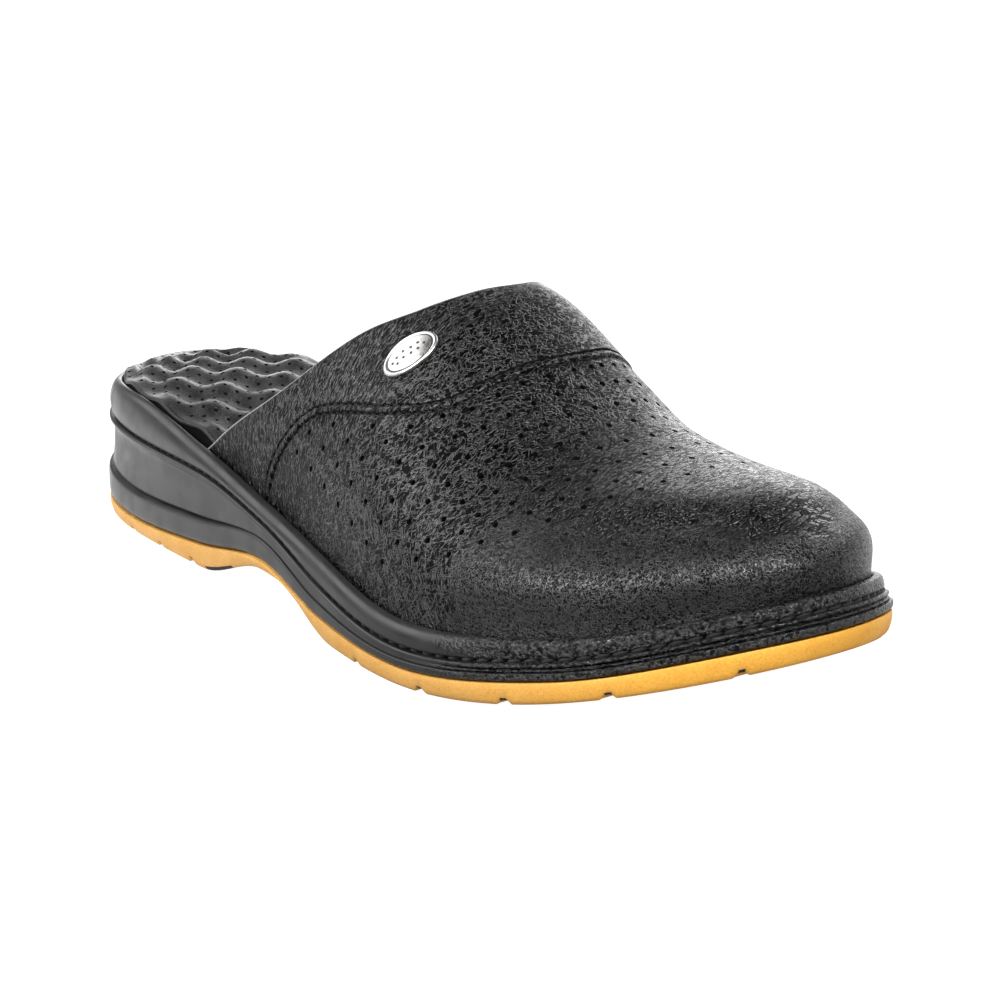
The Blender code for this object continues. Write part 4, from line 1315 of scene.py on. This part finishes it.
def make_upper():
    faces, index = upper_faces(*along_grid.shape)
    outer, inner = wall_points(faces, index)
    rim_points, rim = collar_rim(outer, inner, index)
    count, base = len(outer), np.concatenate([index[0], index[-1][-2::-1]])
    sole_edge = [(b, a, a + count, b + count) for a, b in zip(base[:-1], base[1:])]
    skins = [tuple(dict.fromkeys(face)) for face in faces.tolist()]
    linings = [tuple(i + count for i in face[::-1]) for face in skins]
    lined = linings + sole_edge
    kinds = [*skin_kinds(len(skins)), *[LINING_KIND] * len(lined), *[EDGE_KIND] * len(rim)]
    points, faces = drop_unused(np.concatenate([outer, inner, *rim_points]), skins + lined + rim)
    return make_piece("upper_leather", points, faces, [leather, lining, raw_edge_and_highlight, recess], kinds)


upper = make_upper()
print("upper wall", UPPER_WALL, "mm, faces", len(upper.data.polygons))

# %% [markdown]
# ## Vent holes
# The vamp is punched with rows of small holes. A row is a line from a place at the back to one at the front.
# Towards the toe the holes lie further apart, because the leather was stretched after it was punched. The
# rows of the outer side are repeated on the inner side, and one more runs over the ridge.

# %% Vent holes
HOLE_RADIUS, HOLE_SIDES, HOLE_BELOW, HOLE_ABOVE = 0.78, 14, 5.0, 4.0
HOLE_ROWS = (
    # climb at the back, climb at the front, first along, last along, holes, stretch towards the toe
    (0.228, 0.168, 136.3, 187.0, 7, 0.0),
    (0.289, 0.240, 140.5, 200.8, 8, 0.0),
    (0.342, 0.300, 150.3, 211.0, 8, 0.0),
    (0.400, 0.370, 166.2, 218.0, 8, 0.0),
    (0.462, 0.430, 178.3, 225.0, 8, 0.05),
    (0.545, 0.505, 184.2, 230.5, 8, 0.05),
    (0.622, 0.590, 189.0, 236.0, 8, 0.2),
    (0.704, 0.655, 191.0, 240.0, 8, 0.25),
    (0.784, 0.725, 192.3, 245.0, 8, 0.35),
    (0.862, 0.795, 193.5, 247.4, 8, 0.45),
    (0.942, 0.872, 194.2, 250.5, 8, 0.5),
)
RIDGE_ROW = (1.0, 0.965, 194.4, 252.9, 8, 0.52)


def row_places(row, sign):
    """Along and girth of a row's holes on one side."""
    back_climb, front_climb, first, last, holes, stretch = row
    t = np.linspace(0, 1, holes)
    along = first + (last - first) * ((1 - stretch) * t + stretch * t**2)
    return along, sign * (1 - back_climb - (front_climb - back_climb) * t)


def vent_holes():
    """Centres and normals of all vent holes."""
    rows = [row_places(row, sign) for row in HOLE_ROWS for sign in (-1, 1)] + [row_places(RIDGE_ROW, -1)]
    along, girth = np.concatenate(rows, 1)
    return last_surface(along, girth), last_directions(along, girth)[2]


# Painted shade: the vent-hole walls take the near-black recess finish.
cut_holes(upper, *vent_holes(), HOLE_RADIUS, HOLE_BELOW, HOLE_ABOVE, HOLE_SIDES, recess)
seat(upper, "upper")

# %% [markdown]
# ## Seam thread
# Two rows of black stitches lie in the troughs beside the seam line, about nine to the inch. They use the
# same tubes as the rand, only finer, and each row follows the seam at a fixed distance on the leather.

# %% Seam thread
SEAM_STITCH_PITCH, SEAM_STITCH_LENGTH, SEAM_STITCH_RADIUS, SEAM_STITCH_END = 2.8, 2.2, 0.22, 0.6
SEAM_STITCH_RINGS, SEAM_STITCH_BOW, SEAM_STITCH_SINK, SEAM_STITCH_LIFT = 6, 0.3, 0.2, 0.15
FRONT_ROW_SHARE = 0.35


def make_seam_thread():
    all_points, all_faces = [], []
    for side in SEAM_ENDS:
        along, girth, path = seam_path(side)
        inside = np.abs(girth) > 2 * PROBE_GIRTH
        along, girth, path = along[inside], girth[inside], path[inside]
        out = last_directions(along, girth)[2]
        run = np.gradient(path, axis=0)
        across = np.cross(run / np.linalg.norm(run, axis=1)[:, None], out)
        across *= np.sign((across @ [1.0, 0.0, 0.0]).mean())
        for offset in (-ROW_OFFSET, ROW_OFFSET):
            step = COLLAR_BAND_STEP * (1.0 if offset < 0 else FRONT_ROW_SHARE)
            lift = step - ROW_TROUGH_DEPTH + SEAM_STITCH_LIFT
            line = path + across * offset + out * lift
            places = even_steps(line, SEAM_STITCH_PITCH, SEAM_STITCH_LENGTH, SEAM_STITCH_RINGS)
            bow = np.sin(np.linspace(0, pi, SEAM_STITCH_RINGS))
            normals = along_path(out, places)
            paths = along_path(line, places) + normals * (SEAM_STITCH_BOW * bow - SEAM_STITCH_SINK)[:, None]
            radius = SEAM_STITCH_RADIUS * (SEAM_STITCH_END + (1 - SEAM_STITCH_END) * bow)
            points, faces = tube_rows(paths, normals, radius)
            base = sum(map(len, all_points))
            all_points.append(points)
            all_faces += [tuple(i + base for i in face) for face in faces]
    return make_piece("seam_thread", np.concatenate(all_points), all_faces, [thread])


seat(make_seam_thread())

# %% [markdown]
# ## Badge
# A small oval of satin metal sits on the collar band. Inside its raised rim are a dark line and a low dome
# with a few plain enamel dots. A flat disc would stand off the curved leather, so every ring of the oval is
# laid on the last's surface and lifted from it.

# %% Badge
BADGE_ALONG, BADGE_CLIMB = 165.7, 0.585
BADGE_LENGTH, BADGE_WIDTH, BADGE_TURN = 15.8, 10.6, radians(30.0)
BADGE_RINGS = (
    # share of the oval, height above the band
    (0.0, 0.0), (0.6, 0.0), (1.0, 0.0), (1.0, 0.55), (0.99, 0.72), (0.96, 0.86), (0.92, 0.9), (0.88, 0.84),
    (0.86, 0.72), (0.84, 0.72), (0.8, 0.78), (0.65, 0.95), (0.45, 1.1), (0.22, 1.2), (0.0, 1.24),
)
BADGE_SEGMENTS, BADGE_LINE, BADGE_DOME_RINGS = 72, (0.82, 0.87), 5
BADGE_DOTS = (
    # shares of the half length and the half width
    (-0.62, 0.0), (-0.48, 0.22), (-0.42, -0.12), (-0.22, 0.14), (-0.15, -0.2),
    (0.05, 0.2), (0.12, -0.12), (0.3, 0.2), (0.38, -0.14), (0.55, 0.06),
)
DOT_RADIUS, DOT_SIDES, DOT_FOOT, DOT_EDGE, DOT_CROWN = 0.42, 10, -0.15, 0.04, 0.1
BADGE_STEP_ALONG, BADGE_STEP_GIRTH = 1.0, 0.01


def badge_finish():
    material, tree, shader, spot = new_finish("satin_metal", 0.3, Metallic=1.0)
    haze = noise(tree, spot, 2.0, 3.0)
    raise_surface(tree, shader, times(tree, noise(tree, spot, 0.7, 3.0), 0.03))
    tree.links.new(remap(tree, haze, 0.3, 0.7, 0.24, 0.38), shader.inputs["Roughness"])
    paint(tree, shader, remap(tree, haze, 0.3, 0.7), (0.80, 0.79, 0.77), (0.70, 0.69, 0.67))
    return material


def badge_axes():
    """Half axes of the oval on the leather, and the change of places for a step in space."""
    girth = BADGE_CLIMB - 1
    over, out = last_directions(np.array(BADGE_ALONG), np.array(girth))[1:]
    toeward = np.cross(over, out)
    half_length = (over * cos(BADGE_TURN) + toeward * sin(BADGE_TURN)) * BADGE_LENGTH / 2
    half_width = (toeward * cos(BADGE_TURN) - over * sin(BADGE_TURN)) * BADGE_WIDTH / 2
    steps = []
    for ahead, aside in ((BADGE_STEP_ALONG / 2, 0.0), (0.0, BADGE_STEP_GIRTH / 2)):
        end, start = (last_surface(BADGE_ALONG + way * ahead, girth + way * aside) for way in (1, -1))
        steps.append((end - start) / (2 * (ahead + aside)))
    return half_length, half_width, np.linalg.pinv(np.stack(steps, 1))


def on_badge(lengths, widths, height):
    """Points above the collar band at shares of the oval's half axes."""
    half_length, half_width, to_places = badge_axes()
    offset = half_length * np.asarray(lengths)[:, None] + half_width * np.asarray(widths)[:, None]
    along, girth = (np.array([BADGE_ALONG, BADGE_CLIMB - 1]) + offset @ to_places.T).T
    lift = np.full(len(along), COLLAR_BAND_STEP + PIECE_GAP + height)
    return last_surface(along, girth) + last_directions(along, girth)[2] * lift[:, None]


def make_badge():
    points, loops, faces, kinds = [], [], [], []
    for share, height in BADGE_RINGS:
        turn = np.linspace(0, 2 * pi, BADGE_SEGMENTS if share else 1, endpoint=False)
        loops.append(sum(map(len, points)) + np.arange(len(turn)))
        points.append(on_badge(np.cos(turn) * share, np.sin(turn) * share, height))
    for k, (low, high) in enumerate(zip(loops, loops[1:])):
        middle = (BADGE_RINGS[k][0] + BADGE_RINGS[k + 1][0]) / 2
        line = BADGE_LINE[0] < middle < BADGE_LINE[1]
        for i in range(BADGE_SEGMENTS):
            j = (i + 1) % BADGE_SEGMENTS
            corners = low[i % len(low)], low[j % len(low)], high[j % len(high)], high[i % len(high)]
            faces.append(tuple(dict.fromkeys(int(c) for c in corners)))
            kinds.append(int(line))
    dome = sorted(BADGE_RINGS[-BADGE_DOME_RINGS:])
    turn = np.linspace(0, 2 * pi, DOT_SIDES, endpoint=False)
    for length, width in BADGE_DOTS:
        base = sum(map(len, points))
        height = np.interp(np.hypot(length, width), *np.transpose(dome))
        lengths = length + np.cos(turn) * DOT_RADIUS * 2 / BADGE_LENGTH
        widths = width + np.sin(turn) * DOT_RADIUS * 2 / BADGE_WIDTH
        points += [on_badge(lengths, widths, height + DOT_FOOT), on_badge(lengths, widths, height + DOT_EDGE),
                   on_badge([length], [width], height + DOT_CROWN)]
        for i in range(DOT_SIDES):
            j = (i + 1) % DOT_SIDES
            faces.append((base + i, base + j, base + DOT_SIDES + j, base + DOT_SIDES + i))
            faces.append((base + DOT_SIDES + i, base + DOT_SIDES + j, base + 2 * DOT_SIDES))
        faces.append(tuple(base + i for i in range(DOT_SIDES))[::-1])
        kinds += [1] * (2 * DOT_SIDES + 1)
    return make_piece("badge_plate", np.concatenate(points), faces, [badge_finish(), enamel], kinds)


enamel = one_pattern_finish("dark_enamel", 0.3, (0.8, 3.0), 0.03,
                            ((0.01, 0.01, 0.011), (0.05, 0.05, 0.052)), gloss=(0.25, 0.4))
seat(make_badge(), "badge")

# %% [markdown]
# ## Light
# Catalogue light is high-key: a white sweep behind the shoe, brighter near the horizon, and soft boxes round.
# Black leather shows almost only reflections, so the boxes are placed by what each surface should mirror: one
# on the outer side for the quarter, one in front for the toe, and the bright sweep behind for the rim of
# light. The floor's glow fades towards the camera, so that the low toe stays dark.

# %% World and floor
SWEEP_TOP, SWEEP_BEHIND = (0.45, 0.0), (-0.2, 0.5)
ROOM_DARK, SWEEP_GLOW, WHITE = (0.03, 0.03, 0.031), (0.7, 0.7, 0.71), (1.0, 1.0, 1.0)
FLOOR_GLOW, FLOOR_GLOW_PLACES = (1.0, 0.12), (-120.0, 120.0)
FLOOR_GREYS, FLOOR_WHITES = ((0.2, 0.2, 0.2), (0.22, 0.22, 0.22)), ((0.95, 0.95, 0.95), WHITE)


def world_light():
    world = bpy.data.worlds.new("sweep")
    world.use_nodes = True
    tree = world.node_tree
    background = tree.nodes["Background"]
    way = wire(tree, "TexCoord", output="Generated")
    up = coordinate(tree, way, "Z")
    behind = wire(tree, "VectorMath", {0: way, 1: -near}, output="Value", operation="DOT_PRODUCT")
    band = times(tree, remap(tree, up, *SWEEP_TOP), remap(tree, behind, *SWEEP_BEHIND))
    seen = wire(tree, "LightPath", output="Is Camera Ray")
    colour = tint(tree, seen, tint(tree, band, ROOM_DARK, SWEEP_GLOW), WHITE)
    tree.links.new(colour, background.inputs["Color"])
    bpy.context.scene.world = world


def floor_finish():
    material, tree, shader, spot = new_finish("white_sweep", 0.7)
    paper = noise(tree, spot, 3.0, 3.0)
    raise_surface(tree, shader, times(tree, paper, 0.02))
    paint(tree, shader, paper, *FLOOR_GREYS)
    tree.links.new(tint(tree, paper, *FLOOR_WHITES), shader.inputs["Emission Color"])
    seen = wire(tree, "LightPath", output="Is Camera Ray")
    ahead = wire(tree, "VectorMath", {0: spot, 1: near}, output="Value", operation="DOT_PRODUCT")
    glow = remap(tree, ahead, *FLOOR_GLOW_PLACES, *FLOOR_GLOW)
    tree.links.new(blend(tree, seen, glow, 1.0), shader.inputs["Emission Strength"])
    return material


world_light()
floor.data.materials.append(floor_finish())
bpy.context.scene.view_settings.view_transform = "Standard"
print("white sweep,", FLOOR_BACK, "m deep")

# %% Soft boxes
BOX_DISTANCE = 1.4
SOFT_BOXES = (
    # name, azimuth from the toe, elevation, width, height, power
    ("outer side box", 280.0, 32.0, 0.9, 0.75, 21.0),
    ("inner side box", 90.0, 37.0, 0.9, 0.66, 8.0),
    ("heel box", 210.0, 38.0, 1.2, 0.9, 7.5),
    ("toe box", 350.0, 35.0, 0.8, 0.8, 21.0),
    ("back box", 137.0, 31.0, 1.0, 0.45, 2.6),
    ("back strip", 140.0, 10.0, 1.1, 0.44, 6.0),
)


def soft_box(name, azimuth, elevation, width, height, power):
    lamp = bpy.data.lights.new(name, "AREA")
    lamp.shape, lamp.size, lamp.size_y, lamp.energy = "RECTANGLE", width, height, power
    turn, lift = radians(azimuth), radians(elevation)
    away = Vector((cos(lift) * cos(turn), cos(lift) * sin(turn), sin(lift)))
    box = bpy.data.objects.new(name, lamp)
    box.location = target + away * BOX_DISTANCE
    box.rotation_euler = away.to_track_quat("Z", "Y").to_euler()
    bpy.context.scene.collection.objects.link(box)


for row in SOFT_BOXES:
    soft_box(*row)
print(len(SOFT_BOXES), "soft boxes")
